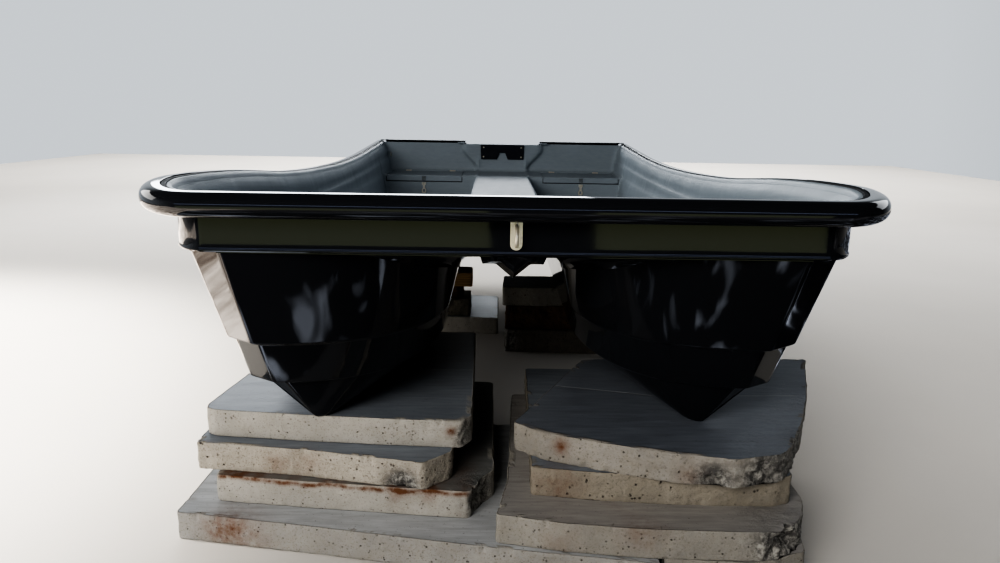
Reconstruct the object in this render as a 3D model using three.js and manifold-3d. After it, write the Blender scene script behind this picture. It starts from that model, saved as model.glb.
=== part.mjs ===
// Small fishing catamaran standing on a plinth of cast slabs.
// Millimetres, +Z up, bow towards -Y, origin on the floor under the middle of the part.
import * as THREE from 'three';
import { mergeVertices } from 'three/addons/utils/BufferGeometryUtils.js';
import Module from 'manifold-3d';

const wasm = await Module();
wasm.setup();

// Driving dimensions of the boat
const HALF_BEAM = 841;
const BOW = -1796;
const STERN = 1780;
const RAIL_CORNER = { a: 188, b: 308 };
const LAST_STATION = 1650;
const RAIL_WIDTH = 72.7;
const RAIL_HEIGHT = 52;
const BAND_INSET = 73;
const WALL_INSET = 82;
// The joint trim lies in a step of the rail's top, with the liner's flange inside it
const TRIM = { near: 44, far: 56 };
const LINER_THICKNESS = 8;
const TRANSOM_RAKE = 0.12;
const TRANSOM_TOP = 873;
const GAP = 0.3;
const KEEL_Z = 297.3;
const BENCH_Z = 683;
const SOLE_Z = 432;
const BENCH_FRONT = 1345;
const TRANSOM_INSIDE = 1735;
const SHELL_TOP = 790;
const HULL_WALL = 10;
const TUNNEL_HALF = 168;
const MOTOR_NOTCH = { halfWidth: 243, z: 862 };

// Height of the gunwale, of the ledge under the band and of the tunnel roof, as [y, z] knots
const SHEER = [[-1780, 904], [-1500, 913], [-1115, 897], [-500, 849], [250, 824], [800, 829],
  [1250, 849], [1780, 876]];
const LEDGE = [[-1780, 776], [-1100, 752], [-400, 728], [250, 721], [900, 727], [1780, 752]];
const ROOF = [[-1700, 770], [-1100, 672], [1780, 668]];

// Plan outlines of one hull, columns: height, front y, x of the sharp front corner, side x at
// the bow and further aft, length of the facet behind the corner, inner side x, length of the
// rounded inner corner
const HULL_LEVELS = [
  { z: KEEL_Z, front: -1466, corner: 500, side: 506, aft: 506, facet: 30, inner: 454, round: 70 },
  { z: 417, front: -1538, corner: 579, side: 680, aft: 706, facet: 85, inner: 195, round: 620 },
  { z: 536, front: -1610, corner: 586, side: 690, aft: 724, facet: 95, inner: 170, round: 480 },
  { z: 542, front: -1626, corner: 597, side: 706, aft: 740, facet: 105, inner: 168, round: 470 },
  { z: SHELL_TOP, front: -1716, corner: 632, side: 763, aft: 764, facet: 130, inner: 110, round: 420 },
];
// The same columns for a foot well, at its outer moulded face
const WELL_LEVELS = [
  { z: SOLE_Z, front: -1496, corner: 560, side: 650, aft: 688, facet: 80, inner: 214, round: 600 },
  { z: 700, front: -1671, corner: 613, side: 733, aft: 744, facet: 120, inner: 155, round: 440 },
];
const FLARE = { from: -1450, to: -700 };
const CORNER_POWER = 2.4;
const ROUND_STEPS = 12;

// Colours of the finishes
const FINISHES = {
  black_gelcoat: { color: 0x0a0b0d, roughness: 0.08, metalness: 0 },
  grey_gelcoat: { color: 0x8f979d, roughness: 0.35, metalness: 0 },
  black_plastic: { color: 0x101112, roughness: 0.45, metalness: 0 },
  stainless: { color: 0xc9c6bd, roughness: 0.2, metalness: 1 },
  concrete: { color: 0xb8b2a6, roughness: 0.9, metalness: 0 },
  stone: { color: 0x9b8a74, roughness: 0.9, metalness: 0 },
  timber: { color: 0xa37a3e, roughness: 0.8, metalness: 0 },
};

const group = new THREE.Group();

function add(name, geometry, finish) {
  const material = new THREE.MeshStandardMaterial(FINISHES[finish]);
  const mesh = new THREE.Mesh(geometry, material);
  mesh.name = name;
  group.add(mesh);
  return mesh;
}

function toSolid(geometry) {
  const bare = geometry.clone();
  for (const key of Object.keys(bare.attributes)) {
    if (key !== 'position') bare.deleteAttribute(key);
  }
  const merged = mergeVertices(bare, 1e-3);
  const mesh = new wasm.Mesh({
    numProp: 3,
    vertProperties: new Float32Array(merged.attributes.position.array),
    triVerts: new Uint32Array(merged.index.array),
  });
  return new wasm.Manifold(mesh);
}

function toGeometry(solid) {
  const mesh = solid.getMesh();
  const geometry = new THREE.BufferGeometry();
  geometry.setAttribute('position', new THREE.BufferAttribute(mesh.vertProperties, 3));
  geometry.setIndex(new THREE.BufferAttribute(mesh.triVerts, 1));
  return geometry;
}

const union = (solids) => solids.reduce((whole, next) => whole.add(next));

// Smooth height at y through [y, z] knots: a Hermite curve with averaged slopes
function heightAt(knots, y) {
  const last = knots.length - 1;
  const slope = (k) => {
    const before = knots[Math.max(k - 1, 0)];
    const after = knots[Math.min(k + 1, last)];
    return (after[1] - before[1]) / (after[0] - before[0]);
  };
  const clamped = Math.min(Math.max(y, knots[0][0]), knots[last][0]);
  let k = 0;
  while (k < last - 1 && clamped > knots[k + 1][0]) k += 1;
  const span = knots[k + 1][0] - knots[k][0];
  const t = (clamped - knots[k][0]) / span;
  const rise = (3 - 2 * t) * t * t;
  return knots[k][1] * (1 - rise) + knots[k + 1][1] * rise
    + span * (t * (1 - t) ** 2 * slope(k) - t * t * (1 - t) * slope(k + 1));
}

// Closed skin over rings of equal length; each end is closed by a zip of strips across the ring
function skin(rings) {
  const count = rings[0].length;
  const index = [];
  for (let r = 0; r + 1 < rings.length; r += 1) {
    for (let i = 0; i < count; i += 1) {
      const j = (i + 1) % count;
      const [a, b, c, d] = [r * count + i, r * count + j, (r + 1) * count + j, (r + 1) * count + i];
      index.push(a, b, c, a, c, d);
    }
  }
  const zip = (base, flip) => {
    for (let i = 0, j = count - 1; i + 1 < j; i += 1, j -= 1) {
      const strip = i + 2 < j ? [[i, j, i + 1], [i + 1, j, j - 1]] : [[i, j, i + 1]];
      for (const [a, b, c] of strip) {
        index.push(base + a, base + (flip ? c : b), base + (flip ? b : c));
      }
    }
  };
  zip(0, false);
  zip((rings.length - 1) * count, true);
  const geometry = new THREE.BufferGeometry();
  geometry.setAttribute('position', new THREE.Float32BufferAttribute(rings.flat(2), 3));
  geometry.setIndex(index);
  if (signedVolume(geometry) < 0) {
    for (let i = 0; i < index.length; i += 3) [index[i], index[i + 1]] = [index[i + 1], index[i]];
    geometry.setIndex(index);
  }
  return geometry;
}

function signedVolume(geometry) {
  const p = geometry.attributes.position;
  const [a, b, c] = [new THREE.Vector3(), new THREE.Vector3(), new THREE.Vector3()];
  let sum = 0;
  for (let i = 0; i < geometry.index.count; i += 3) {
    a.fromBufferAttribute(p, geometry.index.getX(i));
    b.fromBufferAttribute(p, geometry.index.getX(i + 1));
    c.fromBufferAttribute(p, geometry.index.getX(i + 2));
    sum += a.dot(b.cross(c));
  }
  return sum / 6;
}

// Box between two corners, in the boat's frame
function box(low, high) {
  const size = high.map((v, i) => v - low[i]);
  return new THREE.BoxGeometry(...size).translate(...low.map((v, i) => v + size[i] / 2));
}

// 0 at the bow to 1 where the sides have reached their full width
const flareAt = (y) => THREE.MathUtils.smoothstep(y, FLARE.from, FLARE.to);
const mirrored = (solid) => solid.mirror([1, 0, 0]);
const transomAt = (z) => STERN - (TRANSOM_TOP - z) * TRANSOM_RAKE;

// Gunwale line in plan from the starboard stern round the bow to the port stern, set in by an
// amount: two straight sides, two elliptic corners and the straight bow
function gunwaleLine(inset, sternY) {
  const { a, b } = RAIL_CORNER;
  const half = [[HALF_BEAM - inset, sternY]];
  const sideEnd = BOW + b;
  const stations = 15;
  for (let i = 0; i < stations; i += 1) {
    half.push([HALF_BEAM - inset, LAST_STATION + (sideEnd - LAST_STATION) * (i / stations)]);
  }
  const steps = 10;
  for (let i = 0; i <= steps; i += 1) {
    const t = (i / steps) * Math.PI / 2;
    const normal = new THREE.Vector2(Math.cos(t) / a, Math.sin(t) / b).normalize();
    half.push([
      HALF_BEAM - a + a * Math.cos(t) - normal.x * inset,
      sideEnd - b * Math.sin(t) + normal.y * inset,
    ]);
  }
  const starboard = half.map(([x, y]) => [-x, y]);
  return [...starboard, ...half.reverse()];
}

// One hull's outline at a level: straight inner side, superelliptic inner corner, bow face,
// sharp corner, facet, straight outer side; open at the stern, where the zip closes it
function hullLine({ z, front, corner, side, aft, facet, inner, round }, sternY, inset = 0) {
  const [f, s, i0, c] = [front + inset, side - inset, inner + inset, corner - inset / 2];
  const line = [[i0, sternY]];
  const start = f + round;
  for (let k = 1; k < 3; k += 1) line.push([i0, sternY + (start - sternY) * (k / 3)]);
  for (let k = 0; k < ROUND_STEPS; k += 1) {
    const t = (k / ROUND_STEPS) * Math.PI / 2;
    line.push([
      c - (c - i0) * Math.cos(t) ** (2 / CORNER_POWER),
      start - round * Math.sin(t) ** (2 / CORNER_POWER),
    ]);
  }
  line.push([c, f]);
  line.push([s - (s - c) * 0.3, f + facet * 0.55]);
  const tail = f + facet * 1.6;
  for (let k = 0; k < ROUND_STEPS + 2; k += 1) {
    const y = tail + (sternY - tail) * (k / (ROUND_STEPS + 1)) ** 1.4;
    line.push([s + (aft - side) * flareAt(y), y]);
  }
  return line.map(([x, y]) => [x, y, z]);
}

// Outline columns of the upper hull at a height between the strake and the shell's top
function hullLevelAt(z) {
  const [low, high] = HULL_LEVELS.slice(-2);
  const t = (z - low.z) / (high.z - low.z);
  return Object.fromEntries(Object.keys(low).map((key) => [
    key, THREE.MathUtils.lerp(low[key], high[key], t)]));
}

// Black outer moulding
function bandBox() {
  const ring = (zOf, z) => gunwaleLine(BAND_INSET, transomAt(z)).map(([x, y]) => [x, y, zOf(y)]);
  const low = ring((y) => heightAt(LEDGE, y), heightAt(LEDGE, STERN));
  const high = ring((y) => heightAt(SHEER, y) - 3, TRANSOM_TOP);
  return toSolid(skin([low, high]));
}

function portHull() {
  return toSolid(skin(HULL_LEVELS.map((level) => hullLine(level, transomAt(level.z)))));
}

// Bridge deck between the hulls, with the stepped V breaker under its bow end
function bridgeDeck() {
  const halfWidth = 200;
  const lid = SHELL_TOP;
  const breaker = [[-1700, 6, 2], [-1500, 62, 52], [-1330, 46, 36], [-1180, 6, 2]];
  const stations = [-1704, -1600, -1500, -1400, -1330, -1250, -1180, -1090, 0, 1000, 1754];
  const rings = stations.map((y) => {
    const roof = heightAt(ROOF, y);
    const inside = y <= breaker[3][0];
    const wide = inside ? Math.max(interpolate(breaker, y, 1), 2) : 2;
    const deep = inside ? Math.max(interpolate(breaker, y, 2), 0) : 0;
    return [[-halfWidth, lid], [-halfWidth, roof], [-wide, roof], [0, roof - deep],
      [wide, roof], [halfWidth, roof], [halfWidth, lid], [0, lid]].map(([x, z]) => [x, y, z]);
  });
  return toSolid(skin(rings));
}

function interpolate(rows, y, column) {
  let k = 0;
  while (k < rows.length - 2 && y > rows[k + 1][0]) k += 1;
  const t = Math.min(Math.max((y - rows[k][0]) / (rows[k + 1][0] - rows[k][0]), 0), 1);
  return rows[k][column] * (1 - t) + rows[k + 1][column] * t;
}

// Space inside the cockpit with every face set in from the liner's moulded outer face
function cockpitSpace(inset) {
  const stern = TRANSOM_INSIDE - inset;
  const ring = (zOf) => gunwaleLine(WALL_INSET + inset, stern).map(([x, y]) => [x, y, zOf(y)]);
  const upper = toSolid(skin([ring((y) => heightAt(LEDGE, y) + 8 + inset / 2), ring(() => 1000)]));
  const floor = BENCH_Z - LINER_THICKNESS + inset;
  const beside = toSolid(skin([floor, SHELL_TOP].map((z) => (
    hullLine(hullLevelAt(z), stern, HULL_WALL + inset)))));
  const middle = toSolid(box([-TUNNEL_HALF, BOW + 96, floor], [TUNNEL_HALF, stern, SHELL_TOP]));
  const sternOfWell = BENCH_FRONT + LINER_THICKNESS - inset;
  const levels = WELL_LEVELS.map((level, k) => ({ ...level, z: level.z + (k === 0 ? inset : 0) }));
  const port = toSolid(skin(levels.map((level) => hullLine(level, sternOfWell, inset))));
  const tub = toSolid(lockerTub(inset));
  const ramp = toSolid(bowRamp(inset));
  const motorBox = toSolid(motorBoxBlock(inset));
  return union([upper, middle, beside, mirrored(beside), port, mirrored(port), tub, mirrored(tub)])
    .subtract(ramp).subtract(motorBox);
}

// Locker under each bench: its sides lean out with the hull
function lockerTub(inset) {
  const rows = [[445, 262, 628], [760, 250, 700]];
  const [front, back] = [BENCH_FRONT + 4 + inset, 1694 - inset];
  return skin(rows.map(([z, near, far], k) => {
    const height = z + (k === 0 ? inset : 0);
    return [[near + inset, front], [near + inset, back], [far - inset, back], [far - inset, front]]
      .map(([x, y]) => [x, y, height]);
  }));
}

// Rise of the tunnel top towards the bow, above the bridge deck's roof
function bowRamp(inset) {
  const [low, half] = [600, TUNNEL_HALF + 15];
  return skin([-1760, -1600, -1400, -1200, -1085].map((y) => {
    const top = Math.max(heightAt(ROOF, y) + 10 + inset - 0.5, low + 20);
    return [[-half - 30, low], [-half, top], [half, top], [half + 30, low]]
      .map(([x, z]) => [x, y, z]);
  }));
}

// Middle of the transom's inner side, thicker where the motor clamps, its sides in an S curve
function motorBoxBlock(inset) {
  const rows = [[640, 150], [683, 154], [715, 162], [745, 186], [775, 232], [800, 262], [830, 276],
    [1010, 282]];
  return skin(rows.map(([z, half]) => {
    const [wide, front] = [half + inset, 1693 - inset];
    return [[-wide, 1800], [-wide, 1716], [-wide + 34, front], [wide - 34, front], [wide, 1716],
      [wide, 1800]].map(([x, y]) => [x, y, z]);
  }));
}

function motorNotch() {
  const { halfWidth, z } = MOTOR_NOTCH;
  return toSolid(box([-halfWidth, 1600, z], [halfWidth, 1900, 1100]));
}

// The moulding's fields: each is cut back by a hair from those added before it
const BAND_CUT = -1000;
const HULL_CUT = -700;
const DECK_CUT = 1700;
const ahead = (solid, y) => solid.trimByPlane([0, -1, 0], GAP / 2 - y);
const behind = (solid, y) => solid.trimByPlane([0, 1, 0], y + GAP / 2);
const band = bandBox();
const space = cockpitSpace(0);
const underBand = union([band, band.translate([0, 0, -GAP])]);
const bandWall = band.subtract(space).subtract(motorNotch());
add('bow_band', toGeometry(ahead(bandWall, BAND_CUT)), 'black_gelcoat');
add('upper_band', toGeometry(behind(bandWall, BAND_CUT)), 'black_gelcoat');
function hullWall(sign) {
  const hull = sign > 0 ? portHull() : mirrored(portHull());
  return hull.subtract(underBand).subtract(space);
}
bothSides('hull_bow', (sign) => toGeometry(ahead(hullWall(sign), HULL_CUT)), 'black_gelcoat');
bothSides('hull', (sign) => toGeometry(behind(hullWall(sign), HULL_CUT)), 'black_gelcoat');
const hullSides = portHull().translate([-GAP, 0, 0]);
const deck = bridgeDeck().subtract(underBand).subtract(space)
  .subtract(hullSides).subtract(mirrored(hullSides));
add('bridge_deck', toGeometry(ahead(deck, DECK_CUT)), 'black_gelcoat');
add('transom_foot', toGeometry(behind(deck, DECK_CUT)), 'black_gelcoat');

// Grey cockpit liner: one skin between the hull and the cockpit space
const LID = { near: 250, far: 708, back: 1701, plate: 6, lip: 34, side: 4 };

function lidRecess() {
  const [near, far] = [LID.near - LID.side, LID.far + LID.side];
  const plate = box([near, BENCH_FRONT - 8, BENCH_Z - LID.plate - GAP], [far, LID.back + 1.5, 720]);
  const lip = box([near, BENCH_FRONT - 8, BENCH_Z - LID.lip - LID.side],
    [far, BENCH_FRONT + LID.plate + GAP, 720]);
  const port = union([toSolid(plate), toSolid(lip)]);
  return union([port, mirrored(port)]);
}

function linerBody() {
  const line = gunwaleLine(WALL_INSET - 10, STERN + 40);
  const below = skin([
    line.map(([x, y]) => [x, y, 300]),
    line.map(([x, y]) => [x, y, heightAt(SHEER, y) - 2.5]),
  ]);
  const wall = cockpitSpace(GAP).intersect(toSolid(below)).subtract(cockpitSpace(LINER_THICKNESS));
  const inside = WALL_INSET + LINER_THICKNESS;
  const flange = alongGunwale([[inside, -2.7], [inside, 0.5], [TRIM.far + GAP, 0.5],
    [TRIM.far + GAP, -2.7]], 1715);
  return union([wall, toSolid(flange)]).subtract(motorNotch()).subtract(lidRecess());
}
add('cockpit_liner', toGeometry(linerBody()), 'grey_gelcoat');

// Strip of constant section along the gunwale line; section points are [inset, height]
function alongGunwale(section, sternY) {
  const lines = section.map(([inset]) => gunwaleLine(inset, sternY));
  return skin(lines[0].map((_, i) => section.map(([, rise], k) => {
    const [x, y] = lines[k][i];
    return [x, y, heightAt(SHEER, y) + rise];
  })));
}

const RAIL_SECTION = [[RAIL_WIDTH, -3], [TRIM.near, -3], [TRIM.near, 0], [34, 0], [18, -3],
  [7, -10], [1, -20], [0, -30], [5, -41], [15, -49], [30, -RAIL_HEIGHT],
  [RAIL_WIDTH, -RAIL_HEIGHT]];
add('gunwale_rail', alongGunwale(RAIL_SECTION, STERN - 2), 'black_gelcoat');
const TRIM_SECTION = [[TRIM.far, -2.7], [TRIM.far, 1], [TRIM.near + GAP, 1],
  [TRIM.near + GAP, -2.7]];
add('joint_trim', alongGunwale(TRIM_SECTION, 1715), 'black_plastic');

function bothSides(name, makeGeometry, finish) {
  for (const [label, sign] of [['port', 1], ['starboard', -1]]) {
    add(`${name}_${label}`, makeGeometry(sign), finish);
  }
}
const mirrorBox = (sign, low, high) => (sign > 0 ? box(low, high)
  : box([-high[0], low[1], low[2]], [-low[0], high[1], high[2]]));

// Caps along the transom's top, their thin outer ends over the rail
function transomCap() {
  const inner = box([MOTOR_NOTCH.halfWidth, 1722, TRANSOM_TOP + GAP], [766, 1779, TRANSOM_TOP + 8]);
  const outer = box([760, 1722, TRANSOM_TOP + 4], [797, 1779, TRANSOM_TOP + 8]);
  return union([toSolid(inner), toSolid(outer)]);
}
bothSides('transom_cap', (sign) => toGeometry(sign > 0 ? transomCap() : mirrored(transomCap())),
  'black_plastic');

// Motor clamp pads: a plate with a notch cut into its lower edge
function padPlate(width, height, thickness) {
  const shape = new THREE.Shape();
  const [w, h] = [width / 2, height];
  shape.moveTo(-w + 4, 0);
  for (const [x, z] of [[-35, 0], [-18, 42], [18, 42], [35, 0], [w - 4, 0], [w, h], [-w, h]]) {
    shape.lineTo(x, z);
  }
  return new THREE.ExtrudeGeometry(shape, { depth: thickness, bevelEnabled: false, steps: 1 })
    .rotateX(Math.PI / 2);
}
const PAD = { width: 284, height: 94, z: 766, thickness: 9 };
add('motor_pad_inside', padPlate(PAD.width, PAD.height, PAD.thickness)
  .translate(0, 1693 - LINER_THICKNESS - GAP, PAD.z), 'black_plastic');

// Outer pad stands on the raked transom
function outerPad() {
  const shape = box([-140, 0, 0], [140, 10, 190]);
  shape.rotateX(-Math.atan(TRANSOM_RAKE));
  return shape.translate(0, transomAt(664) + GAP, 664);
}
add('motor_pad_outside', outerPad(), 'black_plastic');

// Locker lids with their lips, hinges, keepers and latches
function lidGeometry(sign) {
  const profile = [[LID.back, BENCH_Z - LID.plate], [LID.back, BENCH_Z], [BENCH_FRONT, BENCH_Z],
    [BENCH_FRONT, BENCH_Z - LID.lip], [BENCH_FRONT + LID.plate, BENCH_Z - LID.lip],
    [BENCH_FRONT + LID.plate, BENCH_Z - LID.plate]];
  const shape = new THREE.Shape(profile.map(([y, z]) => new THREE.Vector2(y, z)));
  const [low, high] = sign > 0 ? [LID.near, LID.far] : [-LID.far, -LID.near];
  const body = new THREE.ExtrudeGeometry(shape, { depth: high - low, bevelEnabled: false });
  const turn = new THREE.Matrix4().set(0, 0, 1, low, 1, 0, 0, 0, 0, 1, 0, 0, 0, 0, 0, 1);
  return body.applyMatrix4(turn);
}
bothSides('locker_lid', lidGeometry, 'grey_gelcoat');

const HINGE = { y: 1702, z: 687, radius: 2.6, leaf: 1.4, length: 38, reach: 17 };
const HINGE_PLACES = { inner: 325, outer: 612 };

// Leaf with its knuckle; the two leaves share the hinge line end to end
function hingeLeaf(x, side) {
  const { y, z, radius, leaf, length, reach } = HINGE;
  const [from, to] = side > 0 ? [x + GAP, x + length / 2] : [x - length / 2, x - GAP];
  const barrel = new THREE.CylinderGeometry(radius, radius, to - from, 14).rotateZ(Math.PI / 2)
    .translate((from + to) / 2, y, z);
  const low = BENCH_Z + GAP;
  const plate = side > 0
    ? box([x - length / 2, y + radius + 0.6, low], [x + length / 2, y + reach, low + leaf])
    : box([x - length / 2, y - reach, low], [x + length / 2, y - radius - 0.6, low + leaf]);
  const neck = side > 0
    ? box([from, y, low], [to, y + radius + 2, low + leaf])
    : box([from, y - radius - 2, low], [to, y, low + leaf]);
  return toGeometry(union([toSolid(barrel), toSolid(plate), toSolid(neck)]));
}
for (const [place, x] of Object.entries(HINGE_PLACES)) {
  bothSides(`hinge_fixed_${place}`, (sign) => hingeLeaf(sign * x, 1), 'stainless');
  bothSides(`hinge_moving_${place}`, (sign) => hingeLeaf(sign * x, -1), 'stainless');
}

const LATCH_X = 480;
bothSides('keeper', (sign) => box([sign * LATCH_X - 12.5, BENCH_FRONT - 4, 653],
  [sign * LATCH_X + 12.5, BENCH_FRONT - GAP, 679]), 'black_plastic');

// Toggle latch: wide head, waist and a lower loop with a long eye
function latchGeometry(sign) {
  const shape = new THREE.Shape();
  const outline = [[-13, 0], [-13, -10], [-7, -22], [-7, -34], [-13, -46], [-13, -60], [-8, -66],
    [8, -66], [13, -60], [13, -46], [7, -34], [7, -22], [13, -10], [13, 0]];
  outline.forEach(([x, z], i) => (i === 0 ? shape.moveTo(x, z) : shape.lineTo(x, z)));
  const eye = new THREE.Path([[-6, -42], [6, -42], [6, -59], [-6, -59]]
    .map(([x, z]) => new THREE.Vector2(x, z)));
  shape.holes.push(eye);
  return new THREE.ExtrudeGeometry(shape, { depth: 6, bevelEnabled: false })
    .rotateX(Math.PI / 2).translate(sign * LATCH_X, BENCH_FRONT - GAP, 642);
}
bothSides('latch', latchGeometry, 'stainless');

// Bow eye under the rail, stern eye in the starboard corner, drain plugs low on the transom
function eyePlate(width, height) {
  const shape = new THREE.Shape();
  const r = width / 2;
  shape.moveTo(-r, height);
  shape.lineTo(-r, r);
  shape.absarc(0, r, r, Math.PI, 2 * Math.PI, false);
  shape.lineTo(r, height);
  return new THREE.ExtrudeGeometry(shape, { depth: 3, bevelEnabled: false, curveSegments: 8 })
    .rotateX(Math.PI / 2);
}

// Bar bent into a U in the YZ plane, legs along +Y, from z down to z - span
function uBolt(span, reach, radius) {
  const path = new THREE.CurvePath();
  const r = span / 2;
  path.add(new THREE.LineCurve3(new THREE.Vector3(0, 0, r), new THREE.Vector3(0, r - reach, r)));
  const bend = new THREE.CatmullRomCurve3([0, 1, 2, 3, 4, 5, 6].map((k) => {
    const t = (k / 6) * Math.PI;
    return new THREE.Vector3(0, r - reach - r * Math.sin(t), r * Math.cos(t));
  }));
  path.add(bend);
  path.add(new THREE.LineCurve3(new THREE.Vector3(0, r - reach, -r), new THREE.Vector3(0, 0, -r)));
  const section = new THREE.Shape();
  section.absarc(0, 0, radius, 0, Math.PI * 2, false);
  return new THREE.ExtrudeGeometry(section, {
    steps: 26, curveSegments: 10, extrudePath: path, bevelEnabled: false,
  });
}
const BOW_EYE = { width: 26, low: 787, high: 850, y: BOW + BAND_INSET - GAP };
add('bow_eye_plate', eyePlate(BOW_EYE.width, BOW_EYE.high - BOW_EYE.low)
  .translate(0, BOW_EYE.y, BOW_EYE.low), 'stainless');
add('bow_eye_bolt', uBolt(40, 30, 4)
  .translate(0, BOW_EYE.y - 3 - GAP, 819), 'stainless');
const STERN_EYE = { x: -730, z: 788 };
add('stern_eye', uBolt(22, 16, 2.5)
  .translate(STERN_EYE.x, TRANSOM_INSIDE - LINER_THICKNESS - GAP, STERN_EYE.z), 'stainless');
bothSides('drain_plug', (sign) => {
  const z = 470;
  return new THREE.CylinderGeometry(17, 19, 9, 20).rotateX(-Math.atan(TRANSOM_RAKE))
    .translate(sign * 430, transomAt(z) + 4.5 + GAP * 2, z);
}, 'black_plastic');

// Plinth: cast slabs and blocks as plan outlines between two heights
const SLAB = 74;
const PITCH = 74.25;

// Outline swept up with a worn top edge: columns are plan points, bottom z, thickness, wear
function slabGeometry(plan, low, thickness, wear) {
  const middle = plan.reduce((sum, [x, y]) => [sum[0] + x / plan.length, sum[1] + y / plan.length],
    [0, 0]);
  const ring = (z, inset) => plan.map(([x, y]) => {
    const [dx, dy] = [middle[0] - x, middle[1] - y];
    const length = Math.hypot(dx, dy);
    return [x + dx / length * inset, y + dy / length * inset, z];
  });
  const top = low + thickness;
  return skin([ring(low, wear), ring(low + wear, 0), ring(top - wear, 0), ring(top, wear)]);
}

// Name, level from the floor, plan outline listed up one side and down the other
const SLABS = [
  ['slab_left_base', 0, [[-842, -1556], [-584, -1600], [-307, -1650], [-55, -1697], [150, -1728],
    [345, -1758], [350, -1010], [-200, -960], [-560, -915], [-820, -880]]],
  ['slab_left_lower', 1, [[-758, -1498], [-512, -1530], [-300, -1553], [-96, -1574], [-34, -1450],
    [-40, -790], [-300, -770], [-740, -740]]],
  ['slab_left_middle', 2, [[-818, -1466], [-518, -1506], [-360, -1540], [-213, -1572], [-140, -1500],
    [-150, -820], [-400, -800], [-800, -760]]],
  ['slab_left_top', 3, [[-812, -1424], [-524, -1456], [-297, -1474], [-118, -1484], [-93, -1440],
    [-105, -684], [-400, -690], [-716, -700]]],
  ['slab_right_base', 0, [[352, -1735], [560, -1750], [700, -1700], [742, -1500], [760, -960],
    [560, -940], [352, -1000]]],
  ['slab_right_lower', 1, [[-38, -1678], [130, -1716], [300, -1736], [620, -1748], [690, -1700],
    [728, -1590], [760, -900], [400, -890], [16, -900], [-8, -1500]]],
  ['slab_right_middle', 2, [[47, -1586], [217, -1612], [417, -1630], [640, -1632], [690, -1610],
    [720, -860], [400, -850], [60, -850]]],
  ['slab_right_top', 3, [[3, -1480], [78, -1546], [218, -1602], [373, -1655], [516, -1685],
    [640, -1660], [690, -1600], [760, -1470], [835, -1320], [985, -935], [600, -950], [240, -965]]],
];
for (const [name, level, plan] of SLABS) {
  add(name, slabGeometry(plan, level * PITCH, SLAB, 4), 'concrete');
}

// Aft piles: name, bottom z, thickness, wear, finish, plan outline
const BLOCKS = [
  ['pile_left_base', 0, 80, 4, 'concrete', [[-985, 330], [-316, 302], [-18, 278], [-14, 740],
    [-320, 770], [-985, 780]]],
  ['pile_left_stone', 80.3, 84, 8, 'stone', [[-520, 330], [-290, 310], [-153, 312], [-150, 520],
    [-500, 540]]],
  ['pile_left_lump', 164.6, 62, 14, 'stone', [[-420, 345], [-310, 326], [-215, 332], [-178, 380],
    [-190, 455], [-400, 470]]],
  ['pile_left_timber', 226.9, 69.9, 3, 'timber', [[-560, 335], [-300, 330], [-148, 325],
    [-150, 480], [-540, 490]]],
  ['pile_right_base', 0, 105, 5, 'concrete', [[2, 2], [390, -20], [640, 0], [640, 330], [330, 340],
    [10, 330]]],
  ['pile_right_stone', 105.3, 105, 10, 'stone', [[0, 12], [386, 10], [600, 20], [600, 300], [300, 310],
    [14, 300]]],
  ['pile_right_wedge', 210.6, 86.2, 5, 'concrete', [[-8, 30], [160, 22], [230, 30], [560, 40],
    [560, 280], [250, 280], [0, 270]]],
];
for (const [name, low, thickness, wear, finish, plan] of BLOCKS) {
  add(name, slabGeometry(plan, low, thickness, wear), finish);
}

export default group;
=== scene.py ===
"""Fishing catamaran on its plinth of cast slabs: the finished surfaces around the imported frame.

Everything is in metres in the frame's own axes: bow towards -Y, port towards +X, +Z up.
Shapes are numpy grids, each a function of two parameters, apart from the cockpit moulding, whose
soft junctions come from one smooth field over the cockpit's volume.
"""

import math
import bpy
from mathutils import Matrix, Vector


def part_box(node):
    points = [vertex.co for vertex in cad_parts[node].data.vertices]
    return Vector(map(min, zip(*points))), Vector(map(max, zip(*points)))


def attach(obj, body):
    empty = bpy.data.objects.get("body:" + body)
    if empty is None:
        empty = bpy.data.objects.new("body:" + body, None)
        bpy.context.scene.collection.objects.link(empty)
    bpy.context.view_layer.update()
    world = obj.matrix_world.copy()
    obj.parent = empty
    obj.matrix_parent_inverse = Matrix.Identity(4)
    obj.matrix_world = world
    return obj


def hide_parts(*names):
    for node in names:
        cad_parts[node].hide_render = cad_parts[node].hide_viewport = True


bl_info = {
    "name": "Fishing catamaran",
    "version": (1, 0, 0),
    "blender": (4, 5, 0),
    "location": "3D View > Sidebar > Catamaran",
    "description": "Builds the finished surfaces of a fishing catamaran on a plinth of slabs",
    "category": "Object",
}

import bpy
import numpy as np
from bpy.props import FloatProperty, FloatVectorProperty, PointerProperty
from mathutils import Matrix, Vector

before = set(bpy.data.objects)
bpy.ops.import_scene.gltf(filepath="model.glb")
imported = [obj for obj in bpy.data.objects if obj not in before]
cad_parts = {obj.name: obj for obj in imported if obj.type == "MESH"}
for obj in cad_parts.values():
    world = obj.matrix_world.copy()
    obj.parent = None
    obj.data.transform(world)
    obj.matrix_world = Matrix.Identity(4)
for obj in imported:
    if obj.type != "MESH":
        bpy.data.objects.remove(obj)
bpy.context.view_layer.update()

BOAT = "boat_on_plinth"
LIDS = {"port": "port_lid", "starboard": "starboard_lid"}
SIDES = (("port", 1), ("starboard", -1))

RAIL_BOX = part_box("gunwale_rail")
BAND_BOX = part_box("upper_band")
HULL_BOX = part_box("hull_port")
LID_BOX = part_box("locker_lid_port")
PAD_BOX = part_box("motor_pad_inside")

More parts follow.
